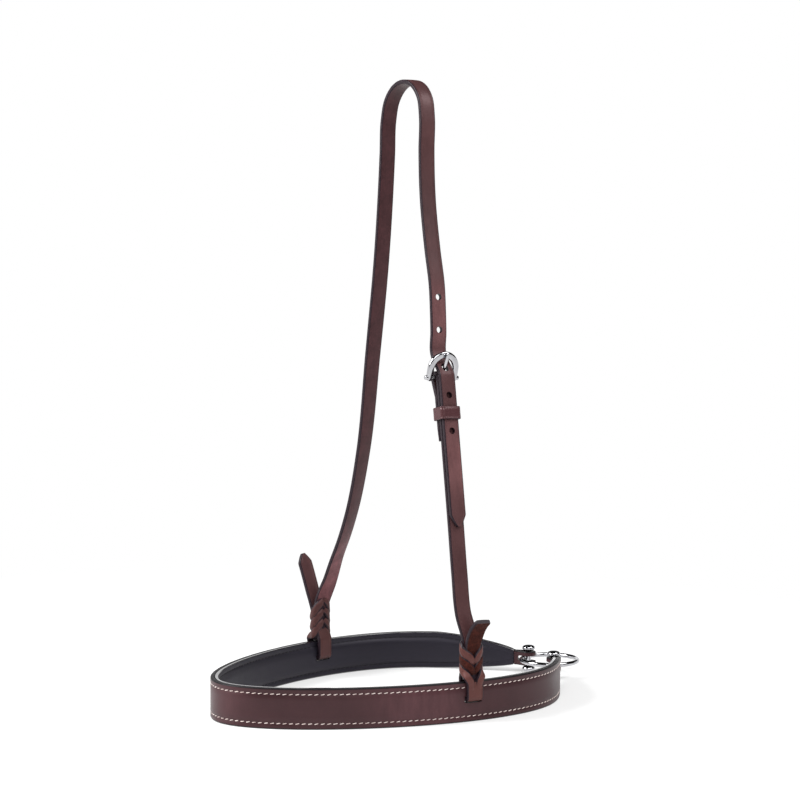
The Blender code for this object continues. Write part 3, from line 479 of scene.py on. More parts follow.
def quarter(steps):
    """Sines and cosines of even steps through a quarter turn."""
    turns = [math.pi / 2.0 * k / steps for k in range(steps + 1)]
    return [(math.sin(turn), math.cos(turn)) for turn in turns]


def rounded_rectangle(half_x, half_y, corner, steps):
    loop = []
    for number, (sx, sy) in enumerate(((1, 1), (-1, 1), (-1, -1), (1, -1))):
        x = sx * (half_x - corner)
        y = sy * (half_y - corner)
        start = number * math.pi / 2.0
        end = start + math.pi / 2.0
        turns = [start + (end - start) * k / steps for k in range(steps + 1)]
        loop += [(x + corner * math.cos(turn), y + corner * math.sin(turn)) for turn in turns]
    return loop


# Meshes


def axes_matrix(x_axis, y_axis, z_axis, origin):
    matrix = Matrix((x_axis, y_axis, z_axis)).transposed().to_4x4()
    matrix.translation = origin
    return matrix


def link(name, data):
    """A new object in the scene."""
    obj = bpy.data.objects.new(name, data)
    bpy.context.scene.collection.objects.link(obj)
    return obj


def smooth(obj, angle=math.radians(38.0)):
    obj.data.shade_smooth()
    obj.data.set_sharp_from_angle(angle=angle)
    return obj


class Shells:
    """Closed shells gathered into one mesh."""

    def __init__(self):
        self.verts = []
        self.faces = []
        self.slots = []

    def loft(self, rings, ring_slots, cap_slot=EDGE, closed=False):
        """A shell through rings of points; each side strip takes its slot from ring_slots."""
        first = len(self.verts)
        count = len(rings[0])
        for ring in rings:
            self.verts += ring
        rows = len(rings)
        for row in range(rows if closed else rows - 1):
            low = first + row * count
            high = first + ((row + 1) % rows) * count
            for column in range(count):
                after = (column + 1) % count
                self.faces.append((low + column, low + after, high + after, high + column))
                self.slots.append(ring_slots[column])
        if not closed:
            last = first + (rows - 1) * count
            self.faces.append(tuple(range(first, first + count)))
            self.faces.append(tuple(range(last + count - 1, last - 1, -1)))
            self.slots += [cap_slot, cap_slot]

    def plain_loft(self, rings, closed=False):
        self.loft(rings, [FACE] * len(rings[0]), FACE, closed)

    def mesh(self, name, materials):
        mesh = bpy.data.meshes.new(name)
        mesh.from_pydata(self.verts, [], self.faces)
        for material in materials:
            mesh.materials.append(material)
        for polygon, slot in zip(mesh.polygons, self.slots):
            polygon.material_index = slot
        obj = link(name, mesh)
        bm = bmesh.new()
        bm.from_mesh(mesh)
        bmesh.ops.recalc_face_normals(bm, faces=bm.faces)
        bm.to_mesh(mesh)
        bm.free()
        return obj

    def build(self, name, materials, angle=math.radians(38.0)):
        return smooth(self.mesh(name, materials), angle)


def cut(obj, cutters):
    """Cuts closed meshes away and colours the new faces as cut edges."""
    for cutter in cutters:
        for polygon in cutter.data.polygons:
            polygon.material_index = EDGE
        modifier = obj.modifiers.new("cut", "BOOLEAN")
        modifier.operation = "DIFFERENCE"
        modifier.solver = "EXACT"
        modifier.object = cutter
    bpy.context.view_layer.update()
    graph = bpy.context.evaluated_depsgraph_get()
    mesh = bpy.data.meshes.new_from_object(obj.evaluated_get(graph))
    obj.modifiers.clear()
    obj.data = mesh
    for cutter in cutters:
        bpy.data.objects.remove(cutter, do_unlink=True)
    return smooth(obj)


def slot_cutter(size, corner, matrix):
    """Prism with a rounded outline: X and Y of the size are the outline, Z the depth."""
    half_x, half_y, half_z = (value / 2.0 for value in size)
    outline = rounded_rectangle(half_x, half_y, min(corner, half_x, half_y), 5)
    prism = Shells()
    prism.plain_loft([[matrix @ Vector((x, y, z)) for x, y in outline] for z in (-half_z, half_z)])
    return prism.mesh("cutter", [])


def rounded_edges(half, outer, sink, radius, steps, back):
    """Section of a strap after its face, whose ends lie lower by sink: two edges, and the back between."""
    bend = quarter(steps)
    points = [(half - radius + radius * s, outer - sink - radius * (1.0 - c), EDGE) for s, c in bend]
    points += [(half - radius * (1.0 - c), -outer + radius * (1.0 - s), EDGE) for s, c in bend[:-1]]
    points += [(across, -outer, BACK) for across in (half - radius, *back)]
    points += [(-half + radius * (1.0 - s), -outer + radius * (1.0 - c), EDGE) for s, c in bend]
    for k, (s, c) in enumerate(bend[:-1]):
        points.append((-half + radius * (1.0 - c), outer - sink * k / steps - radius * (1.0 - s), EDGE))
    return points


# Places that several pieces share

MIDDLE_Z = BAND_WIDTH / 2.0
TAB_Z = MIDDLE_Z - TAB_DROP
STRIP_INNER = STRIP_THICKNESS / 2.0
PADDING_OUTER = STRIP_INNER + FIT
LINING_EDGE_DEPTH = STRIP_INNER + FIT + LINING_THICKNESS / 2.0
PADDING_BULGE = PADDING_THICKNESS + FIT
BAND_INNER = LINING_EDGE_DEPTH + PADDING_BULGE + LINING_THICKNESS / 2.0

PIN_REACH = RING_RADIUS - RING_WIRE_RADIUS - FIT - PIN_RADIUS
PIN_X = math.sqrt(PIN_REACH**2 - PIN_SET_FORWARD**2)
PIN_Y = RING_Y - PIN_SET_FORWARD
KNOB_Z = TAB_WIDTH / 2.0 + FIT + KNOB_HALF_HEIGHT
TAB_FOLD_RADIUS = PIN_RADIUS + FIT + STRIP_THICKNESS / 2.0
TAB_ALONG = Vector((math.cos(TAB_ANGLE), math.sin(TAB_ANGLE), 0.0))
TAB_OUTWARD = Vector((TAB_ALONG.y, -TAB_ALONG.x, 0.0))
TAB_END = Vector((PIN_X, PIN_Y, 0.0)) + TAB_OUTWARD * TAB_FOLD_RADIUS
TAB_LENGTH = TAB_CLOSE + TAB_RETURN + RETURN_FIT

TURNED = Matrix.Rotation(BAND_TURN, 4, "Z")
HEADPIECE_X = -HANGER_Y * math.sin(BAND_TURN)

LEG_OUTER = STRIP_THICKNESS / 2.0 + HANGER_FIT + STRAP_THICKNESS / 2.0
LEG_INNER = -(BAND_INNER + HANGER_FIT + STRAP_THICKNESS / 2.0)
PLAIT_CENTRE = (LEG_OUTER + LEG_INNER) / 2.0
PLAIT_FOOT = BAND_WIDTH + PLAIT_GAP
TAIL_FOOT = PLAIT_FOOT + (PLAIT_ROWS - 1.5) * PLAIT_PITCH
PLAIT_TOP = PLAIT_FOOT + (PLAIT_ROWS - 1.0) * PLAIT_PITCH + PLAIT_RISE / 2.0
SLOT_OPENING = STRAP_THICKNESS + 2.0 * (STRAP_WIDTH / 2.0 * math.sin(HEADPIECE_SWING) + SLIT_FIT)
CROWN_MIDDLE_Z = CROWN_HEIGHT - CROWN_RADIUS

LAYER = STRAP_THICKNESS + FIT
BAR_DEPTH = BAR_RADIUS + FIT + STRAP_THICKNESS / 2.0
BILLET_TURN_RADIUS = BAR_DEPTH + LAYER
FRAME_WIDTH = STRAP_WIDTH + 2.0 * (FRAME_BAND + FRAME_SIDE_FIT)
FRAME_HEIGHT = FRAME_LEG_RISE + FRAME_WIDTH / 2.0


def angle_past(height, depth, distance):
    """Angle from the frame's plane to a line that passes the edge at this height and depth, so far off."""
    return math.atan2(depth, height) + math.asin(distance / math.hypot(height, depth))


def billet_angle():
    """Least turn over the bar that takes the billet clear behind the frame's arc."""
    inner = FRAME_WIDTH / 2.0 - FRAME_BAND
    edge = FRAME_LEG_RISE + math.sqrt(inner**2 - (STRAP_WIDTH / 2.0) ** 2)
    distance = BILLET_TURN_RADIUS + STRAP_THICKNESS / 2.0 + 2.0 * FIT
    half = FRAME_THICKNESS / 2.0
    past_front = angle_past(edge, half - FRAME_EASE, distance)
    return max(past_front, angle_past(edge + FRAME_EASE, half, distance)) - FRAME_TILT


BILLET_CROSSING = billet_angle()
TONGUE_RISE = angle_past(FRAME_HEIGHT - FRAME_BAND + FRAME_EASE, FRAME_THICKNESS / 2.0, FIT + TONGUE_RADIUS)


def near_half_line():
    """Middle of the strip's thickness in plan, from the nose to where the near tab meets its pin."""
    nose = Vector((0.0, 0.0, 0.0))
    widest = Vector((HALF_WIDTH, WIDEST_Y, 0.0))
    front = (nose, nose + Vector((NOSE_HANDLE, 0.0, 0.0)), widest - REAR * HANDLE_BEFORE_WIDEST, widest)
    rear = (widest, widest + REAR * HANDLE_AFTER_WIDEST, TAB_END - TAB_ALONG * TAB_HANDLE, TAB_END)
    samples = 400
    points = [bezier(*front, k / samples) for k in range(samples)]
    points += [bezier(*rear, k / samples) for k in range(samples + 1)]
    return Route(points)


BAND_LINE = near_half_line()
BAND_END = BAND_LINE.length
TAPER_START = BAND_END - TAB_LENGTH - TAPER_LENGTH
LINING_END = BAND_END - TAB_LENGTH - RETURN_FIT
PADDING_END = BAND_END - TAB_LENGTH - PADDING_STOP


def smoothstep(value):
    share = min(1.0, max(0.0, value))
    return share * share * (3.0 - 2.0 * share)


def taper_share(distance):
    """1 on the full width, 0 on the tab, with a rounded shoulder between."""
    from_tab = (BAND_END - TAB_LENGTH - distance) / TAPER_LENGTH
    share = min(1.0, max(0.0, from_tab))
    return (1.0 - (1.0 - share) ** TAPER_POWER) ** (1.0 / TAPER_POWER)


def band_half_height(distance):
    return TAB_WIDTH / 2.0 + (BAND_WIDTH - TAB_WIDTH) / 2.0 * taper_share(distance)


def band_middle_z(distance):
    return TAB_Z + (MIDDLE_Z - TAB_Z) * taper_share(distance)


def band_axes(signed):
    """Plan point, direction along and direction outward at this distance from the nose; off is negative."""
    point, along = BAND_LINE.at(abs(signed))
    side = 1.0 if signed >= 0.0 else -1.0
    along = Vector((along.x, along.y * side, 0.0))
    return Vector((point.x * side, point.y, 0.0)), along, Vector((along.y, -along.x, 0.0))


def band_ring(profile, point, outward, middle):
    """A band layer's section of (height, out, slot), set up at a place on the band."""
    return [point + outward * out + UP * (middle + z) for z, out, _ in profile]


def stations(end, step):
    """Signed distances from the off end round the nose to the near end, closer on the taper."""
    full = min(end, TAPER_START)
    count = math.ceil(full / step)
    near = [full * k / count for k in range(count + 1)]
    if end > TAPER_START:
        count = math.ceil((end - TAPER_START) / (step * 0.45))
        near += [TAPER_START + (end - TAPER_START) * k / count for k in range(1, count + 1)]
    return [-d for d in near[:0:-1]] + near


def distance_at(y):
    """Distance from the nose at which the band's line reaches this y."""
    low = 0.0
    high = BAND_END
    for _ in range(40):
        middle = (low + high) / 2.0
        if BAND_LINE.at(middle)[0].y < y:
            low = middle
        else:
            high = middle
    return low


SLOT_DISTANCE = distance_at(HANGER_Y)


def slot_place(side):
    """Origin on the strip's middle, outward and rearward directions of a slot: side 1 is near, -1 off."""
    point, along, outward = band_axes(side * SLOT_DISTANCE)
    return point, outward, along * side


def hanger(side):
    """Origin, outward and rearward directions of a hanger on the turned band."""
    origin, outward, rearward = slot_place(side)
    turn = TURNED.to_3x3()
    return TURNED @ origin, turn @ outward, turn @ rearward


HANGERS = {side: hanger(side) for side in (1, -1)}


# Band


def turned_band(layer):
    """The piece after the whole band is turned a little under the headpiece."""
    layer.data.transform(TURNED)
    return layer


def groove_share(half):
    """Fades the sewn groove out where the band narrows."""
    return smoothstep((half - GROOVE_END_HALF) / GROOVE_FADE)


def strip_profile(half):
    """Section of the strip: rounded burnished edges and a groove for each row of stitches."""
    depth = GROOVE_DEPTH * groove_share(half)
    row = half - GROOVE_INSET
    outer = STRIP_THICKNESS / 2.0
    dip = [(-GROOVE_HALF, 0.0), (-0.4 * GROOVE_HALF, depth), (0.0, depth * GROOVE_MIDDLE)]
    dip += [(0.4 * GROOVE_HALF, depth), (GROOVE_HALF, 0.0)]
    face = [(-half + EDGE_ROUND, 0.0)] + [(z - row, sunk) for z, sunk in dip]
    face += [(share * (row - GROOVE_HALF), 0.0) for share in (-0.6, -0.2, 0.2, 0.6)]
    face += [(z + row, sunk) for z, sunk in dip]
    back = [(half - EDGE_ROUND) * share for share in (0.5, -0.5)]
    profile = [(z, outer - sunk, FACE) for z, sunk in face]
    return profile + rounded_edges(half, outer, 0.0, EDGE_ROUND, 5, back)


def tab_plan(side):
    """Plan points of a tab: round the pin, back to the strip and a short way along it."""
    layer_step = STRIP_THICKNESS + RETURN_FIT
    pin = Vector((PIN_X, PIN_Y, 0.0))
    fold = fold_points(TAB_FOLD_RADIUS, TAB_CLOSE, layer_step)
    plan = [pin + TAB_OUTWARD * p.x + TAB_ALONG * p.y for p in fold[1:-1]]
    for back in (TAB_CLOSE, TAB_CLOSE + 0.5 * TAB_RETURN, TAB_CLOSE + TAB_RETURN):
        point, _, outward = band_axes(BAND_END - back)
        plan.append(point - outward * layer_step)
    return [Vector((p.x * side, p.y, 0.0)) for p in plan]


def slit_cutter(side):
    """Slit through both layers of a tab, which lets the ring's wire through."""
    reach_out = TAB_FOLD_RADIUS + STRIP_THICKNESS
    along = Vector((TAB_ALONG.x * side, TAB_ALONG.y, 0.0))
    middle = Vector((PIN_X * side, PIN_Y, TAB_Z)) + along * (reach_out - TAB_CLOSE) / 2.0
    height = 2.0 * (RING_WIRE_RADIUS + SLIT_FIT)
    size = (reach_out + TAB_CLOSE, height, 4.0 * TAB_FOLD_RADIUS)
    return slot_cutter(size, height / 2.0, axes_matrix(along, -UP, UP.cross(along), middle))


def hanger_slot_cutters():
    cutters = []
    for side in (1, -1):
        origin, outward, rearward = slot_place(side)
        size = (STRAP_WIDTH + 2.0 * SLOT_SIDE_FIT, SLOT_OPENING, 4.0 * BAND_INNER)
        matrix = axes_matrix(rearward, UP * side, outward, origin + UP * SLOT_HEIGHT_ON_BAND)
        cutters.append(slot_cutter(size, 0.0009, matrix))
    return cutters


def make_strip():
    """Outer strip with a tab folded round a pin at each end."""
    places = stations(BAND_END, BAND_STEP)
    near = tab_plan(1.0)
    off = tab_plan(-1.0)[::-1]
    line = off + [band_axes(signed)[0] for signed in places] + near
    places = [BAND_END] * len(off) + places + [BAND_END] * len(near)
    rings = []
    for point, along, signed in zip(line, directions(line), places):
        outward = Vector((along.y, -along.x, 0.0)).normalized()
        profile = strip_profile(band_half_height(abs(signed)))
        rings.append(band_ring(profile, point, outward, band_middle_z(abs(signed))))
    shell = Shells()
    shell.loft(rings, [slot for _, _, slot in profile])
    strip = shell.build("outer_strip", [BRIDLE_LEATHER, BURNISHED_EDGE, STRAP_FLESH])
    return turned_band(cut(strip, hanger_slot_cutters() + [slit_cutter(1.0), slit_cutter(-1.0)]))


def crown_share(distance):
    """How far the padding lifts the lining: 1 along the band, fading out towards the tabs."""
    return smoothstep((PADDING_END - distance) / PADDING_FADE)


def lining_profile(signed):
    """Section of the lining: flat sewn margins and a soft raised middle, puckered along the stitches."""
    half = band_half_height(abs(signed))
    bulge = PADDING_BULGE * crown_share(abs(signed))
    pucker = PUCKER * math.cos(2.0 * math.pi * signed / STITCH_PITCH)
    outer = LINING_EDGE_DEPTH - LINING_THICKNESS / 2.0
    inner = LINING_EDGE_DEPTH + LINING_THICKNESS / 2.0
    row = half - GROOVE_INSET
    edge = EDGE_ROUND * 0.8
    groove = 0.00045 * groove_share(half)
    raised = max(row - 0.0021, half * 0.3)
    inner_side = [(-half + edge, 0.0), (-row - 0.0014, 0.00006), (-row - 0.0006, -groove * 0.5)]
    inner_side += [(-row, -groove + pucker), (-row + 0.0007, bulge * 0.22 - groove * 0.4)]
    inner_side += [(-raised, bulge * 0.62), (-raised * 0.82, bulge * 0.88)]
    inner_side += [(-raised * 0.5, bulge * 0.99), (0.0, bulge)]
    inner_side += [(-z, depth) for z, depth in reversed(inner_side[:-1])]
    outer_side = [(row - 0.0021, 0.0), (raised * 0.9, bulge * 0.9), (0.0, bulge)]
    outer_side += [(-z, depth) for z, depth in reversed(outer_side[:-1])]
    rim = [(half - edge * (1.0 - s), inner - edge * (1.0 - c)) for s, c in quarter(4)[1:]]
    profile = [(z, -(inner + depth), FACE) for z, depth in inner_side]
    profile += [(z, -depth, EDGE) for z, depth in rim]
    profile += [(half, -outer, BACK)] + [(z, -(outer + depth), BACK) for z, depth in outer_side]
    profile += [(-half, -outer, EDGE)] + [(-z, -depth, EDGE) for z, depth in reversed(rim)]
    return profile


def make_lining():
    rings = []
    for signed in stations(LINING_END, LINING_STEP):
        point, _, outward = band_axes(signed)
        profile = lining_profile(signed)
        rings.append(band_ring(profile, point, outward, band_middle_z(abs(signed))))
    shell = Shells()
    shell.loft(rings, [slot for _, _, slot in profile])
    lining = shell.build("lining", [LINING_LEATHER, LINING_EDGE, LINING_LEATHER])
    return turned_band(cut(lining, hanger_slot_cutters()))


def make_padding():
    """Felt strip that fills the lining's raised middle."""
    rings = []
    for signed in stations(PADDING_END - PADDING_FADE / 2.0, PADDING_STEP):
        point, _, outward = band_axes(signed)
        half = band_half_height(abs(signed)) - GROOVE_INSET - 0.0017
        thickness = PADDING_THICKNESS * max(0.45, crown_share(abs(signed)))
        profile = []
        for z, depth in rounded_rectangle(half, thickness / 2.0, thickness * 0.42, 3):
            fuzz = 0.00004 * noise.noise(Vector((signed * 900.0, z * 900.0, depth * 900.0)))
            profile.append((z, -(PADDING_OUTER + thickness / 2.0 + depth + fuzz), FACE))
        rings.append(band_ring(profile, point, outward, band_middle_z(abs(signed))))
    shell = Shells()
    shell.plain_loft(rings)
    padding = shell.build("felt_padding", [FELT], math.radians(60.0))
    return turned_band(cut(padding, hanger_slot_cutters()))


def stitch(shell, centre, along, out, across, slant, length):
    """One stitch: thread that rises out of its hole, lies along the groove and dives in again."""
    reach = along * math.cos(slant) + across * math.sin(slant)
    side = out.cross(reach)
    rings = []
    rise = ((-0.5, -1.25), (-0.44, -0.2), (-0.25, 0.42))
    fall = ((0.25, 0.42), (0.44, -0.2), (0.5, -1.25))
    for share, lift in (*rise, (0.0, 0.55), *fall):
        middle = centre + reach * (length * share) + out * (THREAD_RADIUS * lift)
        radius = THREAD_RADIUS * (0.9 if abs(share) > 0.4 else 1.0)
        rings.append([middle + (side * c + out * s * 0.9) * radius for c, s in circle(8)])
    shell.plain_loft(rings)


def row_slope(distance, edge_sign):
    """How steeply a row of stitches climbs here, away from the nose."""
    step = 0.0005
    ahead = band_middle_z(distance + step) + edge_sign * band_half_height(distance + step)
    behind = band_middle_z(distance - step) + edge_sign * band_half_height(distance - step)
    return (ahead - behind) / (2.0 * step)


def stitch_row(shell, edge_sign, depth, face_sign, slant, seed):
    """A row of stitches along one edge of the band, on its outer (1) or its lining (-1) face."""
    chance = random.Random(seed)
    end = BAND_END - TAB_LENGTH - STITCH_END
    count = int(2.0 * end / STITCH_PITCH)
    for k in range(count + 1):
        signed = -end + 2.0 * end * k / count
        point, along, outward = band_axes(signed)
        half = band_half_height(abs(signed))
        at_loop = abs(abs(signed) - SLOT_DISTANCE) < STRAP_WIDTH * 0.62
        if half < STITCH_HALF_HEIGHT or (at_loop and face_sign < 0 and edge_sign > 0):
            continue
        height = band_middle_z(abs(signed)) + edge_sign * (half - GROOVE_INSET)
        rise = row_slope(abs(signed), edge_sign) * (1.0 if signed >= 0.0 else -1.0)
        travel = (along + UP * rise).normalized()
        out = outward * face_sign
        tilt = slant + chance.uniform(-0.05, 0.05)
        size = STITCH_LENGTH * chance.uniform(0.94, 1.04)
        stitch(shell, point + outward * depth + UP * height, travel, out, out.cross(travel), tilt, size)


def tab_stitches(shell, side):
    """Three stitches across the tab, which hold its folded end."""
    point, along, outward = band_axes(side * (BAND_END - TAB_CLOSE - 0.55 * TAB_RETURN))
    for k in (-1.0, 0.0, 1.0):
        centre = point + outward * (STRIP_THICKNESS / 2.0) + UP * (TAB_Z + k * TAB_STITCH_PITCH)
        stitch(shell, centre, UP, outward, along, 0.1, TAB_STITCH_LENGTH)


def make_strip_stitching():
    shell = Shells()
    depth = STRIP_THICKNESS / 2.0 - GROOVE_DEPTH * GROOVE_MIDDLE
    stitch_row(shell, 1, depth, 1.0, 0.22, 11)
    stitch_row(shell, -1, depth, 1.0, 0.22, 12)
    tab_stitches(shell, 1.0)
    tab_stitches(shell, -1.0)
    return turned_band(shell.build("strip_stitching", [THREAD], math.radians(70.0)))


def make_lining_stitching():
    shell = Shells()
    depth = -(LINING_EDGE_DEPTH + LINING_THICKNESS / 2.0 - 0.00042)
    stitch_row(shell, 1, depth, -1.0, -0.12, 21)
    stitch_row(shell, -1, depth, -1.0, -0.12, 22)
    return turned_band(shell.build("lining_stitching", [BLACK_THREAD], math.radians(70.0)))


# Ring and pins


def knob_profile():
    """Radius and height of the upper half of a pin, from its domed top down to mid-height."""
    neck = math.asin(PIN_RADIUS / KNOB_RADIUS)
    points = []
    steps = 22
    for k in range(steps + 1):
        angle = 0.02 + (math.pi - neck - 0.02) * k / steps
        points.append((KNOB_RADIUS * math.sin(angle) ** 0.8, KNOB_Z + KNOB_HALF_HEIGHT * math.cos(angle)))
    points[-1] = (PIN_RADIUS, KNOB_Z - KNOB_HALF_HEIGHT * math.cos(neck))
    points.append((PIN_RADIUS * 0.97, KNOB_Z - KNOB_HALF_HEIGHT * 1.05))
    return points


def make_pin(name, side):
    """Pin with a knob at each end, upright in a tab."""
    upper = knob_profile()
    profile = upper + [(radius, -height) for radius, height in reversed(upper)]
    matrix = TURNED @ Matrix.Translation((PIN_X * side, PIN_Y, TAB_Z))
    rings = []
    for radius, height in profile:
        rings.append([matrix @ Vector((radius * c, radius * s, height)) for c, s in circle(56)])
    shell = Shells()
    shell.plain_loft(rings)
    return shell.build(name, [STEEL], math.radians(50.0))


def make_ring():
    """Wire ring, a hair thicker where its ends are welded."""
    rings = []
    turns = 160
    for k in range(turns):
        turn = 2.0 * math.pi * k / turns
        from_weld = abs(turn - math.pi / 2.0)
        wire = RING_WIRE_RADIUS * (1.0 + WELD_SWELL * math.exp(-((from_weld / WELD_SPREAD) ** 2)))
        outward = Vector((math.cos(turn), math.sin(turn), 0.0))
        centre = TURNED @ Vector((0.0, RING_Y, TAB_Z)) + outward * RING_RADIUS
        rings.append([centre + outward * wire * c + UP * wire * s for c, s in circle(20)])
    shell = Shells()
    shell.plain_loft(rings, closed=True)
    return shell.build("tie_down_wire_ring", [STEEL], math.radians(60.0))


# Straps


def strap_profile(half_width, half_thickness):
    """Section of a strap: creased face, rounded dyed edges and a plain back, as (across, up, slot)."""
    edge = min(STRAP_EDGE, half_width * 0.45)
    inset = min(CREASE_INSET, half_width * 0.35)
    crease = CREASE_DEPTH * smoothstep((half_width - 0.002) / 0.003)
    face = [(-half_width + edge, -STRAP_CROWN * 0.6), (-half_width + inset - CREASE_HALF, 0.0)]
    face += [(-half_width + inset, -crease), (-half_width + inset + CREASE_HALF, 0.0)]
    face.append((-half_width * 0.4, STRAP_CROWN * 0.8))
    face += [(-across, up) for across, up in reversed(face)]
    points = [(across, half_thickness - STRAP_CROWN + up, FACE) for across, up in face]
    points[-1] = (*points[-1][:2], EDGE)
    return points + rounded_edges(half_width, half_thickness, STRAP_CROWN * 1.6, edge, 4, (0.0,))[1:]


def across_strap(direction):
    """Width direction of a strap that runs this way with its edges to the front and the rear."""
    return (REAR - direction * REAR.dot(direction)).normalized()


def sweep_strap(shell, points, face_out, across=None, width=None, thickness=None, twist=None):
    """Adds a strap along the points; face_out tells which side its face is on, width and twist change it."""
    rings = []
    for k, (point, direction) in enumerate(zip(points, directions(points))):
        side = across if across is not None else across_strap(direction)
        side = (side - direction * side.dot(direction)).normalized()
        normal = side.cross(direction)
        if normal.dot(face_out(k)) < 0.0:
            normal = -normal
            side = -side
        if twist:
            turn = Matrix.Rotation(twist(k), 3, direction)
            side = turn @ side
            normal = turn @ normal
        half_width = STRAP_WIDTH / 2.0 * (width(k) if width else 1.0)
        half_thickness = STRAP_THICKNESS / 2.0 * (thickness(k) if thickness else 1.0)
        profile = strap_profile(half_width, half_thickness)
        rings.append([point + side * a + normal * b for a, b, _ in profile])
    shell.loft(rings, [slot for _, _, slot in profile])


def leg_y(height):
    return HANGER_Y + (height - PLAIT_TOP) * STRAP_LEAN_BACK


def leg_points(shape, side, bottom, top):
    points = []
    for share, out in shape:
        height = bottom + (top - bottom) * share
        points.append(Vector((HEADPIECE_X + out * HALF_WIDTH * side, leg_y(height), height)))
    return points


def hanger_point(side, out, height, rear=0.0):
    origin, outward, rearward = HANGERS[side]
    return origin + outward * out + rearward * rear + UP * height


def add_hanger_loop(shell, side):
    """The strap down the outside, through the slot and up the inside of the band, grain side out."""
    corners = [
        hanger_point(side, LEG_OUTER - 0.0004, PLAIT_FOOT - 0.0020),
        hanger_point(side, LEG_OUTER, BAND_WIDTH - 0.0040),
        hanger_point(side, LEG_OUTER, SLOT_HEIGHT_ON_BAND),
        hanger_point(side, LEG_INNER, SLOT_HEIGHT_ON_BAND),
        hanger_point(side, LEG_INNER, BAND_WIDTH + 0.0018),
        hanger_point(side, PLAIT_CENTRE - 0.36 * PLAIT_HALF_DEPTH, ROW_FOOT[side] + 0.0105),
    ]
    path = filleted(corners, HANGER_BEND_RADIUS)
    dense = [path[0]]
    for a, b in zip(path, path[1:]):
        pieces = max(1, math.ceil((b - a).length / STRAP_STEP))
        dense += [a.lerp(b, k / pieces) for k in range(1, pieces + 1)]
    rearward = HANGERS[side][2]
    middle = hanger_point(side, PLAIT_CENTRE, SLOT_HEIGHT_ON_BAND + 0.010)
    tangents = directions(dense)

    def face_out(k):
        away = dense[k] - middle
        return away - rearward * away.dot(rearward) - tangents[k] * away.dot(tangents[k])

    sweep_strap(shell, dense, face_out, across=rearward)


# Section of a plaited strand, domed with its edges rolled in, as shares of its half width and thickness
STRAND_SECTION = (
    (-1.0, -0.25, EDGE), (-0.93, 0.15, EDGE), (-0.76, 0.56, FACE), (-0.42, 0.90, FACE), (0.0, 1.0, FACE),
    (0.42, 0.90, FACE), (0.76, 0.56, EDGE), (0.93, 0.15, EDGE), (1.0, -0.25, EDGE), (0.94, -0.6, EDGE),
    (0.7, -0.9, FACE), (0.0, -1.0, FACE), (-0.7, -0.9, EDGE), (-0.94, -0.6, EDGE),
)


def add_strand(shell, side, edge, knots):
    """One strand; knots are (degrees round the plait or None, across, out, height, half width)."""
    _, outward, rearward = HANGERS[side]
    points = []
    normals = []
    widths = []
    for turn, across, out, height, half in knots:
        if turn is not None:
            angle = math.radians(turn)
            across = (PLAIT_HALF_WIDTH - 0.0013) * math.sin(angle)
            out = (PLAIT_HALF_DEPTH - 0.0012) * math.cos(angle) * out
            lean = Vector((math.sin(angle) / PLAIT_HALF_WIDTH, math.cos(angle) / PLAIT_HALF_DEPTH))
        else:
            lean = Vector((0.15 * across / PLAIT_HALF_WIDTH, 1.0))
        lean.normalize()
        points.append(hanger_point(side, PLAIT_CENTRE + out, height, across * edge))
        normals.append(rearward * lean.x * edge + outward * lean.y)
        widths.append(half)
    route = Route(points)
    path = Route(smooth_curve(points, STRAND_STEP))
    rings = []
    for point, direction, reach in zip(path.points, directions(path.points), path.reach):
        index, blend = route.find(reach / path.length * route.length)
        blend = min(1.0, max(0.0, blend))
        normal = normals[index - 1].lerp(normals[index], blend)
        normal = (normal - direction * normal.dot(direction)).normalized()
        across = normal.cross(direction)
        half = widths[index - 1] + (widths[index] - widths[index - 1]) * blend
        section = [(a * half, b * STRAND_HALF_THICKNESS) for a, b, _ in STRAND_SECTION]
        rings.append([point + across * a + normal * b for a, b in section])
    shell.loft(rings, [slot for _, _, slot in STRAND_SECTION])


def add_plait_rows(shell, side, rows):
    """Pairs of strands that leave the middle of the outer face and rise round to the inner face."""
    reach = PLAIT_HALF_DEPTH - 0.0012
    leg = LEG_OUTER - PLAIT_CENTRE
    edge_rise = EDGE_RISE[side]
    back_rise = BACK_RISE[side]
    climb = back_rise - edge_rise
    first_lift = FIRST_ROW_LIFT[side]
    for row in rows:
        foot = ROW_FOOT[side] + row * ROW_STEP[side]
        if row == 0:
            start = [
                (None, 0.0031, leg + 0.0001, PLAIT_FOOT - 0.0072, 0.0029),
                (None, 0.0031, leg + 0.0004, PLAIT_FOOT - 0.0046, 0.0031),
                (None, 0.0038, leg + 0.0007, foot - 0.0016, 0.0032),
                (None, 0.0058, leg + 0.0002, foot + 0.0018 + first_lift, 0.0031),
                (66.0, 0.0, 1.15, foot + edge_rise * 0.68 + first_lift, 0.0031),
            ]
        else:
            start = [
                (None, 0.0008, reach * 0.50, foot - 0.0042, 0.0020),
                (None, 0.0016, reach * 1.02, foot - 0.0012, 0.0027),
                (28.0, 0.0, 1.16, foot + edge_rise * 0.26, 0.0031),
                (60.0, 0.0, 1.10, foot + edge_rise * 0.64, 0.0033),
            ]
        around = [
            (92.0, 0.0, 1.0, foot + edge_rise, 0.0033),
            (126.0, 0.0, 1.06, foot + edge_rise + climb * 0.44, 0.0032),
            (154.0, 0.0, 1.10, foot + edge_rise + climb * 0.80, 0.0030),
            (174.0, 0.0, 0.80, foot + back_rise, 0.0022),
        ]
        for edge in (1, -1):
            lift = 0.0003 * edge
            knots = [(turn, across, out, z + lift, half) for turn, across, out, z, half in start + around]
            add_strand(shell, side, edge, knots)


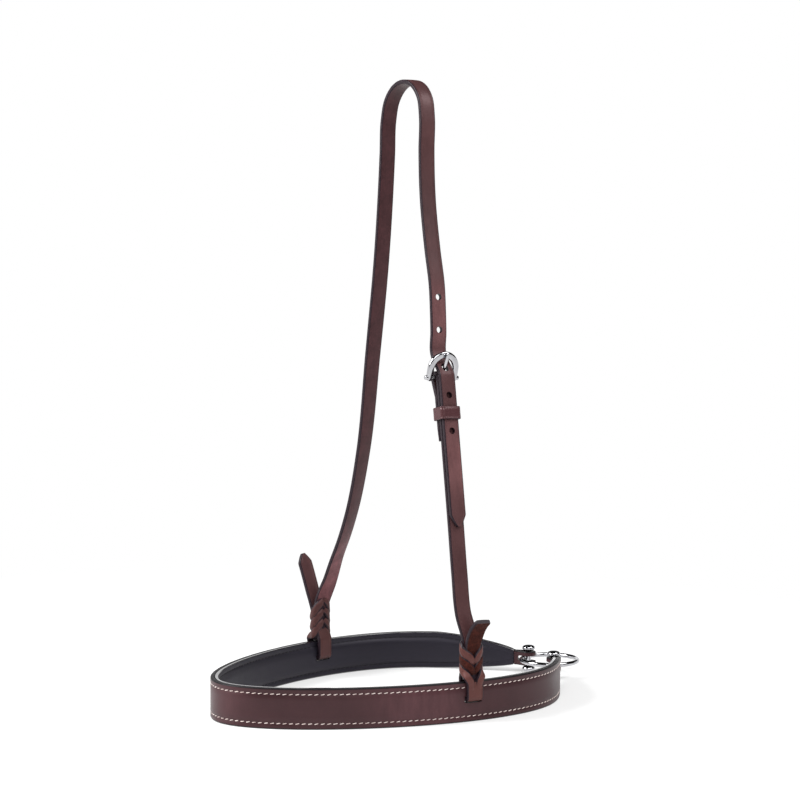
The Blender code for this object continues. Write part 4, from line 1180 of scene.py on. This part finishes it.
def add_plait_core(shell, side):
    """Crossed straps inside the plait, seen only as dark gaps between the strands."""
    rings = []
    rows = 12
    low = PLAIT_FOOT - 0.0010
    for k in range(rows + 1):
        fill = 0.72 if k < rows else 0.55
        depth = fill + 0.20 * max(0.0, 1.0 - k / 5.0)
        ring = []
        for column, (c, s) in enumerate(circle(20)):
            turn = 2.0 * math.pi * column / 20
            rise = BACK_RISE[side] * min(turn, 2.0 * math.pi - turn) / math.pi
            top = ROW_FOOT[side] + (PLAIT_ROWS - 1.3) * ROW_STEP[side] + rise
            out = PLAIT_CENTRE + PLAIT_HALF_DEPTH * depth * c
            ring.append(hanger_point(side, out, low + (top - low) * (k / rows), PLAIT_HALF_WIDTH * fill * s))
        rings.append(ring)
    # The core takes the dark edge dye all over, so that the gaps between the strands read dark: painted
    # shade.
    shell.loft(rings, [EDGE] * len(rings[0]))


def add_tail(shell, side, shape, length, point_length):
    """Free end of the strap, flesh side out, cut blunt with rounded corners or to a point."""
    knots = [
        hanger_point(side, PLAIT_CENTRE + out * length, TAIL_FOOT + up * length, rear * length)
        for up, out, rear in shape
    ]
    points = smooth_curve(knots, TAIL_STEP)
    _, outward, rearward = HANGERS[side]
    left = run_left(points)
    blunt = 0.0022

    def width(k):
        if left[k] < point_length:
            return 0.16 + 0.84 * (left[k] / point_length) ** 0.75
        if point_length == 0.0 and left[k] < blunt:
            return 0.86 + 0.14 * (left[k] / blunt) ** 0.5
        return 1.0 - 0.10 * smoothstep((left[k] - length * 0.55) / (length * 0.45))

    sweep_strap(shell, points, lambda k: -outward, across=rearward, width=width)


def plait_exit(side):
    return [
        hanger_point(side, PLAIT_CENTRE - 0.1 * PLAIT_HALF_DEPTH, PLAIT_TOP - 1.2 * PLAIT_PITCH),
        hanger_point(side, PLAIT_CENTRE - 0.4 * PLAIT_HALF_DEPTH, PLAIT_TOP + 0.4 * PLAIT_PITCH),
    ]


def buckle_axes():
    """Outward, rearward and upward directions of the straight run at the buckle."""
    upward = Vector((-NEAR_LEAN, STRAP_LEAN_BACK, 1.0)).normalized()
    rearward = across_strap(upward)
    return rearward.cross(upward), rearward, upward


def buckle_place(out, up):
    """Point at the buckle: out from the cheek strap's middle and up from the bar."""
    outward, _, upward = buckle_axes()
    place = Vector((HEADPIECE_X + BUCKLE_OUT, leg_y(BUCKLE_HEIGHT), BUCKLE_HEIGHT))
    return place + outward * out + upward * up


def cheek_points():
    knots = plait_exit(1) + leg_points(CHEEK_LEG, 1, PLAIT_TOP, BUCKLE_HEIGHT)
    knots += [buckle_place(0.0, up) for up in (-BILLET_TAIL, -0.5 * BILLET_TAIL, -FOLD_CLOSE, 0.0)]
    points = smooth_curve(knots, STRAP_STEP)
    fold = fold_points(BAR_DEPTH, FOLD_CLOSE, LAYER)
    points += [buckle_place(p.x - BAR_DEPTH, p.y) for p in fold[1:]]
    run = FOLD_BACK - FOLD_CLOSE
    points += [buckle_place(-LAYER, -FOLD_CLOSE - run * k / 11.0) for k in range(1, 12)]
    return points


def make_cheek_strap():
    """Cheek strap, grain side out, folded round the buckle's bar with its end behind."""
    points = cheek_points()
    outward, rearward, upward = buckle_axes()
    bar = buckle_place(-BAR_DEPTH, 0.0)
    tangents = directions(points)
    left = run_left(points)

    def face_out(k):
        turned_over = tangents[k].dot(upward) < 0.0 and points[k].z > 0.15
        if (points[k] - bar).length < BAR_DEPTH * 1.25:
            return points[k] - bar
        return -outward if turned_over else outward

    def thickness(k):
        return 0.55 + 0.45 * smoothstep(left[k] / 0.010)

    shell = Shells()
    sweep_strap(shell, points, face_out, thickness=thickness)
    strap = shell.build("cheek_strap_leather", [STRAP_LEATHER, STRAP_EDGE_DYE, STRAP_FLESH])
    size = (TONGUE_SLOT_LENGTH, TONGUE_SLOT_WIDTH, 4.0 * BILLET_TURN_RADIUS)
    matrix = axes_matrix(upward, rearward, -outward, buckle_place(-BAR_DEPTH, TONGUE_SLOT_RISE))
    return cut(strap, [slot_cutter(size, TONGUE_SLOT_WIDTH / 2.0, matrix)])


def over_bar(angle):
    """The billet's place at this turn over the bar, in the buckle's own out and up."""
    return BILLET_TURN_RADIUS * math.cos(angle) - BAR_DEPTH, BILLET_TURN_RADIUS * math.sin(angle)


def billet_points():
    """Billet from above the buckle down through the frame and over the bar."""
    out, up = over_bar(BILLET_CROSSING)
    slope_out = -math.sin(BILLET_CROSSING)
    slope_up = math.cos(BILLET_CROSSING)
    points = [buckle_place(FRAME_HEIGHT * x, FRAME_HEIGHT * y) for x, y in reversed(BILLET_RETURN)]
    run, back = (FRAME_HEIGHT * share for share in BILLET_BEND)
    points.append(buckle_place(out + slope_out * run + back, up + slope_up * run))
    for share in reversed(BILLET_STRAIGHT):
        run = FRAME_HEIGHT * share
        points.append(buckle_place(out + slope_out * run, up + slope_up * run))
    return points + [buckle_place(*over_bar(BILLET_CROSSING * k / 4.0)) for k in (4, 3, 2, 1)]


def crown_points():
    knots = plait_exit(-1) + leg_points(OFF_LEG, -1, PLAIT_TOP, CROWN_MIDDLE_Z)
    for k in range(7):
        angle = math.pi * (1.0 - k / 6.0)
        height = CROWN_MIDDLE_Z + CROWN_RADIUS * math.sin(angle)
        knots.append(Vector((HEADPIECE_X + CROWN_RADIUS * math.cos(angle), leg_y(height), height)))
    billet = billet_points()
    knots += leg_points(UPPER_NEAR_LEG, 1, billet[0].z, CROWN_MIDDLE_Z)
    points = smooth_curve(knots + billet, STRAP_STEP)
    run = BILLET_TAIL - BILLET_POINT
    points += [buckle_place(LAYER, -run * k / 34.0) for k in range(0, 35)]
    points += [buckle_place(LAYER, -run - BILLET_POINT * k / 9.0) for k in range(1, 10)]
    return points


def make_crown_strap():
    """Crown strap, grain side out, from the off plait over the crown to the punched billet."""
    points = crown_points()
    left = run_left(points)

    def width(k):
        if left[k] < BILLET_POINT:
            return 0.10 + 0.90 * (left[k] / BILLET_POINT) ** 0.62
        return 1.0

    def face_out(k):
        return Vector((points[k].x - HEADPIECE_X, 0.0, max(0.0, points[k].z - CROWN_MIDDLE_Z)))

    def twist(k):
        if points[k].x > HEADPIECE_X:
            return 0.0
        height = points[k].z
        fade = smoothstep((height - TWIST_LOW) / (TWIST_MOST - TWIST_LOW))
        fade *= 1.0 - smoothstep((height - TWIST_MOST) / (TWIST_HIGH - TWIST_MOST))
        return OFF_TWIST * fade

    shell = Shells()
    sweep_strap(shell, points, face_out, width=width, twist=twist)
    strap = shell.build("crown_strap_leather", [STRAP_LEATHER, STRAP_EDGE_DYE, STRAP_FLESH])
    return cut(strap, hole_cutters(points))


def tongue_crossing():
    """Run along the billet, past its turn over the bar, where the resting tongue goes through it."""
    out, up = over_bar(BILLET_CROSSING)
    tongue = FRAME_TILT + TONGUE_RISE
    across_tongue = (out + BAR_DEPTH) * math.cos(tongue) - up * math.sin(tongue)
    return across_tongue / math.sin(BILLET_CROSSING + tongue)


def hole_cutters(points):
    """Round holes either side of the one that the tongue has drawn out long."""
    route = Route(points[::-1])
    tongue_reach = BILLET_TAIL + BILLET_TURN_RADIUS * BILLET_CROSSING + tongue_crossing()
    cutters = []
    for count, lead in HOLE_LEADS.items():
        point, direction = route.at(tongue_reach + count * HOLE_PITCH + lead)
        rearward = across_strap(direction)
        matrix = axes_matrix(direction, rearward, direction.cross(rearward), point)
        length = TONGUE_HOLE_LENGTH if count == 0 else 2.0 * HOLE_RADIUS
        cutters.append(slot_cutter((length, 2.0 * HOLE_RADIUS, 3.0 * STRAP_THICKNESS), HOLE_RADIUS, matrix))
    return cutters


def make_hanger_leather(side, prefix):
    """Loop through the band and the grain-side rows of the plait."""
    shell = Shells()
    add_hanger_loop(shell, side)
    add_plait_rows(shell, side, (0, 2))
    add_plait_core(shell, side)
    # Both hangers are one leather; the off side's darker copy is painted shade.
    material = HANGER_LEATHER if side > 0 else OFF_HANGER_PAINTED_SHADE
    return shell.build(prefix + "_plait_grain", [material, STRAP_EDGE_DYE, STRAP_FLESH])


def make_hanger_flesh(side, prefix):
    """Row of the plait that shows the flesh side."""
    shell = Shells()
    add_plait_rows(shell, side, (1,))
    # On the off side this row takes the darker copy of the hanger leather: painted shade.
    material = SUEDE if side > 0 else OFF_HANGER_PAINTED_SHADE
    return shell.build(prefix + "_plait_flesh", [material, STRAP_EDGE_DYE, material])


def make_tail(side, prefix, shape, length, point_length):
    shell = Shells()
    add_tail(shell, side, shape, length, point_length)
    flesh = SUEDE if side > 0 else STRAP_FLESH
    return shell.build(prefix + "_free_end", [STRAP_LEATHER, STRAP_EDGE_DYE, flesh])


# Buckle and keeper


def frame_matrix(extra_tilt=0.0):
    """X across the strap, Y up the frame, Z out of the frame's face, on the bar's axis."""
    outward, rearward, upward = buckle_axes()
    tilt = FRAME_TILT + extra_tilt
    rise = outward * math.sin(tilt) + upward * math.cos(tilt)
    face = outward * math.cos(tilt) - upward * math.sin(tilt)
    return axes_matrix(rearward, rise, face, buckle_place(-BAR_DEPTH, 0.0))


def frame_ring(matrix, x, y, turn, scale):
    """Rounded section of the buckle's frame, less wide towards a foot's end."""
    outwards = Vector((math.cos(turn), math.sin(turn), 0.0))
    points = []
    for c, s in circle(24):
        a = math.copysign(abs(c) ** 0.62, c) * (FRAME_BAND / 2.0) * scale
        b = math.copysign(abs(s) ** 0.72, s) * (FRAME_THICKNESS / 2.0)
        b *= 1.0 if b < 0.0 else 0.99
        rise = Vector((0.0, 0.0, b * (0.55 + 0.45 * scale)))
        points.append(matrix @ (Vector((x, y, 0.0)) + outwards * a + rise))
    return points


def make_buckle_frame():
    """Cast horseshoe frame with a domed face, and the bar through its two ends."""
    matrix = frame_matrix()
    middle = FRAME_WIDTH / 2.0 - FRAME_BAND / 2.0
    foot = [(FRAME_BAND / 2.0 * down, scale) for scale, down in ((0.35, -0.93), (0.66, -0.75), (0.88, -0.46))]
    foot.append((FRAME_BAND / 2.0 * -0.2, 0.98))
    leg = foot + [(FRAME_LEG_RISE * k / 6.0, 1.0) for k in range(6)]
    rings = [frame_ring(matrix, middle, y, 0.0, scale) for y, scale in leg]
    for k in range(41):
        turn = math.pi * k / 40.0
        x = middle * math.cos(turn)
        rings.append(frame_ring(matrix, x, FRAME_LEG_RISE + middle * math.sin(turn), turn, 1.0))
    rings += [frame_ring(matrix, -middle, y, math.pi, scale) for y, scale in reversed(leg)]
    shell = Shells()
    shell.plain_loft(rings)
    add_bar(shell, matrix)
    return shell.build("horseshoe_buckle", [STEEL], math.radians(45.0))


def add_bar(shell, matrix):
    """Bar of the buckle, with its two ends rounded off."""
    half = FRAME_WIDTH / 2.0 + BAR_PROUD
    stops = ((-half, 0.55), (-half + 0.0002, 0.85), (-half + 0.0006, 1.0), (0.0, 1.0))
    stops += ((half - 0.0006, 1.0), (half - 0.0002, 0.85), (half, 0.55))
    rings = []
    for x, share in stops:
        radius = BAR_RADIUS * share
        rings.append([matrix @ Vector((x, radius * c, radius * s)) for c, s in circle(24)])
    shell.plain_loft(rings)


def make_buckle_tongue():
    """Tongue: an eye round the bar and a tapered blade with a rounded tip."""
    matrix = frame_matrix(TONGUE_RISE)
    wire = TONGUE_EYE_WIRE
    eye_radius = BAR_RADIUS + FIT + wire
    reach = FRAME_HEIGHT + TONGUE_OVERHANG
    rings = []
    for y, z in circle(40):
        outward = Vector((0.0, y, z))
        places = []
        for c, s in circle(14):
            places.append(outward * (eye_radius + wire * c) + Vector((wire * 1.2 * s, 0.0, 0.0)))
        rings.append([matrix @ place for place in places])
    shell = Shells()
    shell.plain_loft(rings, closed=True)
    stops = ((eye_radius, 0.95, 0.95), (reach * 0.35, 1.0, 1.0), (reach * 0.7, 1.0, 0.95))
    stops += ((reach * 0.88, 0.92, 0.85), (reach * 0.95, 0.75, 0.7))
    stops += ((reach * 0.985, 0.5, 0.45), (reach, 0.2, 0.2))
    rings = []
    for up, wide, thick in stops:
        half_width = TONGUE_RADIUS * wide
        half_thickness = TONGUE_RADIUS * thick
        rings.append([matrix @ Vector((half_width * c, up, half_thickness * s)) for c, s in circle(18)])
    shell.plain_loft(rings)
    return shell.build("tongue", [STEEL], math.radians(45.0))


def resampled_loop(loop, count):
    """Points at even distances round a closed loop, from the middle of its first side."""
    points = [Vector((x, y, 0.0)) for x, y in loop]
    route = Route(points + [points[0]])
    return [route.at(route.length * k / count)[0].xy for k in range(count)]


def make_keeper():
    """Keeper loop: creased along both edges and slightly bowed in front."""
    matrix = axes_matrix(*buckle_axes(), buckle_place(0.0, -KEEPER_BELOW_BAR))
    depth = LAYER + STRAP_THICKNESS / 2.0 + FIT
    width = STRAP_WIDTH / 2.0 + KEEPER_SIDE_FIT
    wall = KEEPER_THICKNESS
    inner = resampled_loop(rounded_rectangle(depth, width, KEEPER_CORNER, 6), 72)
    outer = resampled_loop(rounded_rectangle(depth + wall, width + wall, KEEPER_CORNER + wall, 6), 72)
    half = KEEPER_HEIGHT / 2.0
    profile = [(-1.0, 0.30, EDGE), (-0.99, 0.62, EDGE), (-0.955, 0.88, FACE), (-0.90, 0.97, FACE)]
    profile += [(-0.80, 1.0, FACE), (-0.745, 0.92, FACE), (-0.69, 1.0, FACE), (-0.3, 0.97, FACE)]
    profile += [(-up, out, FACE) for up, out, _ in reversed(profile)]
    profile[-3:] = [(up, out, EDGE) for up, out, _ in profile[-3:]]
    profile += [(1.0, 0.0, BACK), (-1.0, 0.0, EDGE)]
    rings = []
    for (ix, iy), (ox, oy) in zip(inner, outer):
        bow = KEEPER_BOW * math.cos(0.5 * math.pi * min(1.0, abs(iy) / width)) if ix > 0.0 else 0.0
        places = [(ix + (ox + bow - ix) * out, iy + (oy - iy) * out, half * up) for up, out, _ in profile]
        rings.append([matrix @ Vector(place) for place in places])
    shell = Shells()
    shell.loft(rings, [slot for _, _, slot in profile], EDGE, closed=True)
    return shell.build("keeper_loop", [KEEPER_LEATHER, STRAP_EDGE_DYE, STRAP_FLESH], math.radians(50.0))


# Floor, light and camera

FILL_STRENGTH = 0.32
FLOOR_REACH = 12.0
FLOOR_DROP = 0.0002
FLAG_REACH = 2.2
FLAG_TOP = 1.75
FLAG_FRONT = (-104.0, 76.0, 0.10)
FLAG_REAR = (76.0, 256.0, 0.70)
LIGHT_TARGET = (0.0, 0.14, 0.18)
CAMERA_LENS = 94.5
CAMERA_PLACE = (1.3085, -0.6681, 0.325)
CAMERA_HEADING = (-0.848, 0.530, 0.0)
CAMERA_PITCH = math.radians(3.79)


def seen_ray(tree):
    """1 for a ray from the camera, a reflection or a clear solid, and 0 for light on the object."""
    path = new_node(tree, "ShaderNodeLightPath")
    share = path.outputs["Is Camera Ray"]
    for kind in ("Is Glossy Ray", "Is Transmission Ray"):
        either = new_node(tree, "ShaderNodeMath", {0: share, 1: path.outputs[kind]}, operation="MAXIMUM")
        share = either.outputs["Value"]
    return share


def make_floor():
    """Pale floor that runs out of sight and keeps the object's shadow."""
    corners = [(sx * FLOOR_REACH, sy * FLOOR_REACH, 0.0) for sx, sy in ((-1, -1), (1, -1), (1, 1), (-1, 1))]
    mesh = bpy.data.meshes.new("floor")
    mesh.from_pydata(corners, [], [(0, 1, 2, 3)])
    floor = link("floor", mesh)
    floor.location.z = -FLOOR_DROP
    look = Look("floor_paper")
    look.set(Base_Color=(0.88, 0.88, 0.88, 1.0), Roughness=0.9, Specular_IOR_Level=0.2)
    from_middle = look.node("ShaderNodeVectorMath", {0: look.place}, operation="LENGTH")
    far = look.span(from_middle.outputs["Value"], 0.30, 0.75, 0.4, 1.0)
    share = look.node("ShaderNodeMath", {0: far, 1: seen_ray(look.tree)}, operation="MULTIPLY")
    white = look.node("ShaderNodeEmission", {"Color": WHITE})
    sockets = {"Fac": share.outputs["Value"], 1: look.shader.outputs["BSDF"], 2: white.outputs["Emission"]}
    mix = look.node("ShaderNodeMixShader", sockets)
    look.tree.links.new(mix.outputs["Shader"], look.tree.nodes["Material Output"].inputs["Surface"])
    mesh.materials.append(look.material)


def make_world():
    """White to the camera and in reflections, a plain grey light on the leather."""
    world = bpy.data.worlds.new("studio")
    bpy.context.scene.world = world
    world.use_nodes = True
    tree = world.node_tree
    tree.nodes.clear()
    fill = new_node(tree, "ShaderNodeBackground", {"Color": WHITE, "Strength": FILL_STRENGTH})
    seen = new_node(tree, "ShaderNodeBackground", {"Color": WHITE, "Strength": 1.0})
    sockets = {"Fac": seen_ray(tree), 1: fill.outputs["Background"], 2: seen.outputs["Background"]}
    mix = new_node(tree, "ShaderNodeMixShader", sockets)
    new_node(tree, "ShaderNodeOutputWorld", {"Surface": mix.outputs["Shader"]})


def area_light(name, place, size, power):
    light = bpy.data.lights.new(name, "AREA")
    light.shape = "RECTANGLE"
    light.size = size
    light.size_y = size
    light.energy = power
    obj = link(name, light)
    obj.location = place
    direction = Vector(LIGHT_TARGET) - Vector(place)
    obj.rotation_euler = direction.to_track_quat("-Z", "Y").to_euler()


def make_flags():
    """Dark cloth behind the camera and overhead, seen only in reflections, so that steel has dark bands."""
    wall = bmesh.new()
    centre = Vector((0.0, 0.15, 0.0))

    def corner(turn, height):
        angle = math.radians(turn)
        place = Vector((FLAG_REACH * math.cos(angle), FLAG_REACH * math.sin(angle), height))
        return wall.verts.new(centre + place)

    for start, end, bottom in (FLAG_FRONT, FLAG_REAR):
        turns = [start + (end - start) * k / 12.0 for k in range(13)]
        low = [corner(turn, bottom) for turn in turns]
        high = [corner(turn, FLAG_TOP) for turn in turns]
        for k in range(12):
            wall.faces.new((low[k], low[k + 1], high[k + 1], high[k]))
    wall.faces.new([corner(k * 15.0, FLAG_TOP) for k in range(24)])
    mesh = bpy.data.meshes.new("flags")
    wall.to_mesh(mesh)
    wall.free()
    flags = link("flags", mesh)
    look = Look("flag_cloth")
    weave = look.ramp(look.noise(300.0, 2.0), (0.3, (0.010, 0.010, 0.010)), (0.7, (0.016, 0.016, 0.016)))
    look.drive("Base Color", weave)
    look.set(Roughness=1.0, Specular_IOR_Level=0.0)
    mesh.materials.append(look.material)
    flags.visible_camera = False
    flags.visible_diffuse = False
    flags.visible_shadow = False


def make_camera():
    """Camera at the photograph's viewpoint, on the near front side."""
    camera = bpy.data.cameras.new("camera")
    camera.lens = CAMERA_LENS
    camera.sensor_width = 36.0
    camera.clip_start = 0.05
    obj = link("camera", camera)
    look = Vector(CAMERA_HEADING).normalized() * math.cos(CAMERA_PITCH) - UP * math.sin(CAMERA_PITCH)
    right = look.cross(UP).normalized()
    obj.matrix_world = axes_matrix(right, right.cross(look), -look, Vector(CAMERA_PLACE))
    bpy.context.scene.camera = obj


# Put together

make_camera()

# Soft spots of painted sheen (paler) and one of painted shade (darker) in the leathers' dye, as centre,
# radius and gain.
BAND_PAINTED_SHEEN = (((0.008, 0.001, 0.014), 0.034, 0.4), ((0.089, 0.115, 0.014), 0.060, 0.85))
STRAP_PAINTED_SHEEN_AND_SHADE = (
    ((0.043, 0.158, 0.285), 0.034, 1.0),
    ((0.064, 0.155, 0.182), 0.048, 0.9),
    ((-0.098, 0.151, 0.090), 0.042, 0.6),
    ((0.026, 0.161, 0.355), 0.070, -0.35),
)
FLESH_PAINTED_SHEEN = (((-0.098, 0.151, 0.090), 0.052, 2.4),)
BRIDLE_LEATHER = grain_leather("bridle_leather_face", (0.035, 0.0142, 0.0163), 0.34, 0.48, painted_sheen_and_shade=BAND_PAINTED_SHEEN)
STRAP_LEATHER = grain_leather("strap_leather_face", (0.0645, 0.0278, 0.0287), 0.36, 0.50, painted_sheen_and_shade=STRAP_PAINTED_SHEEN_AND_SHADE)
HANGER_LEATHER = grain_leather("hanger_leather_face", (0.084, 0.028, 0.023), 0.42, 0.58)
# A darker copy of the hanger leather for the off side: painted shade.
OFF_HANGER_PAINTED_SHADE = grain_leather("off_hanger_painted_shade", (0.056, 0.0210, 0.0195), 0.42, 0.58)
KEEPER_LEATHER = grain_leather("keeper_leather_face", (0.061, 0.0255, 0.0280), 0.18, 0.30)
LINING_LEATHER = grain_leather("lining_leather_face", (0.0105, 0.0090, 0.0140), 0.42, 0.58, tint=LINING_TINT)
STRAP_FLESH = flesh_leather("slicked_flesh_side", (0.035, 0.0128, 0.0144), FLESH_PAINTED_SHEEN)
SUEDE = suede_leather("suede_flesh_side", (0.037, 0.0088, 0.0058))
BURNISHED_EDGE = edge_leather("burnished_edge", (0.004, 0.003, 0.004), (0.012, 0.008, 0.010), 0.35, 0.5, 0.2)
STRAP_EDGE_DYE = edge_leather("dyed_strap_edge", (0.009, 0.005, 0.008), (0.030, 0.016, 0.023), 0.35, 0.5, 0.2)
LINING_EDGE = edge_leather("lining_edge", (0.005, 0.004, 0.006), (0.015, 0.012, 0.018), 0.10, 0.18, 1.0, 0.5)
THREAD = thread_look()
BLACK_THREAD = edge_leather("black_thread", (0.008, 0.007, 0.009), (0.024, 0.021, 0.026), 0.45, 0.6, 0.3)
STEEL = steel_look()
FELT = felt_look()


def place(obj, body, slot, *nodes):
    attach(obj, body)
    if nodes:
        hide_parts(*nodes)
    return obj


place(make_strip(), "band", "bridle_leather", "band_leather")
place(make_lining(), "band", "lining_leather", "band_lining")
padding = place(make_padding(), "band", "felt", "band_padding")
place(make_strip_stitching(), "band", "bridle_leather")
place(make_lining_stitching(), "band", "lining_leather")
place(make_ring(), "tie_down_ring", "polished_steel", "tie_down_ring")
place(make_pin("near_knobbed_pin", 1), "near_toggle_pin", "polished_steel", "near_toggle_pin")
place(make_pin("off_knobbed_pin", -1), "off_toggle_pin", "polished_steel", "off_toggle_pin")
place(make_cheek_strap(), "headpiece", "strap_leather", "cheek_strap")
place(make_hanger_leather(1, "near"), "headpiece", "strap_leather")
place(make_hanger_flesh(1, "near"), "headpiece", "strap_leather")
place(make_tail(1, "near", NEAR_TAIL, NEAR_TAIL_LENGTH, 0.0), "headpiece", "strap_leather")
place(make_crown_strap(), "headpiece", "strap_leather", "crown_strap")
place(make_hanger_leather(-1, "off"), "headpiece", "strap_leather")
place(make_hanger_flesh(-1, "off"), "headpiece", "strap_leather")
place(make_tail(-1, "off", OFF_TAIL, OFF_TAIL_LENGTH, TAIL_POINT), "headpiece", "strap_leather")
place(make_keeper(), "keeper", "keeper_leather", "keeper")
place(make_buckle_frame(), "buckle_frame", "polished_steel", "buckle_frame")
place(make_buckle_tongue(), "buckle_tongue", "polished_steel", "buckle_tongue")

make_floor()
make_world()
area_light("front_softbox", (1.10, -0.35, 1.25), 0.9, 14.0)
area_light("left_softbox", (-0.55, -1.00, 1.05), 0.8, 34.0)
area_light("right_softbox", (0.67, 0.74, 1.25), 0.7, 11.0)
make_flags()
bpy.context.scene.view_settings.view_transform = "Standard"
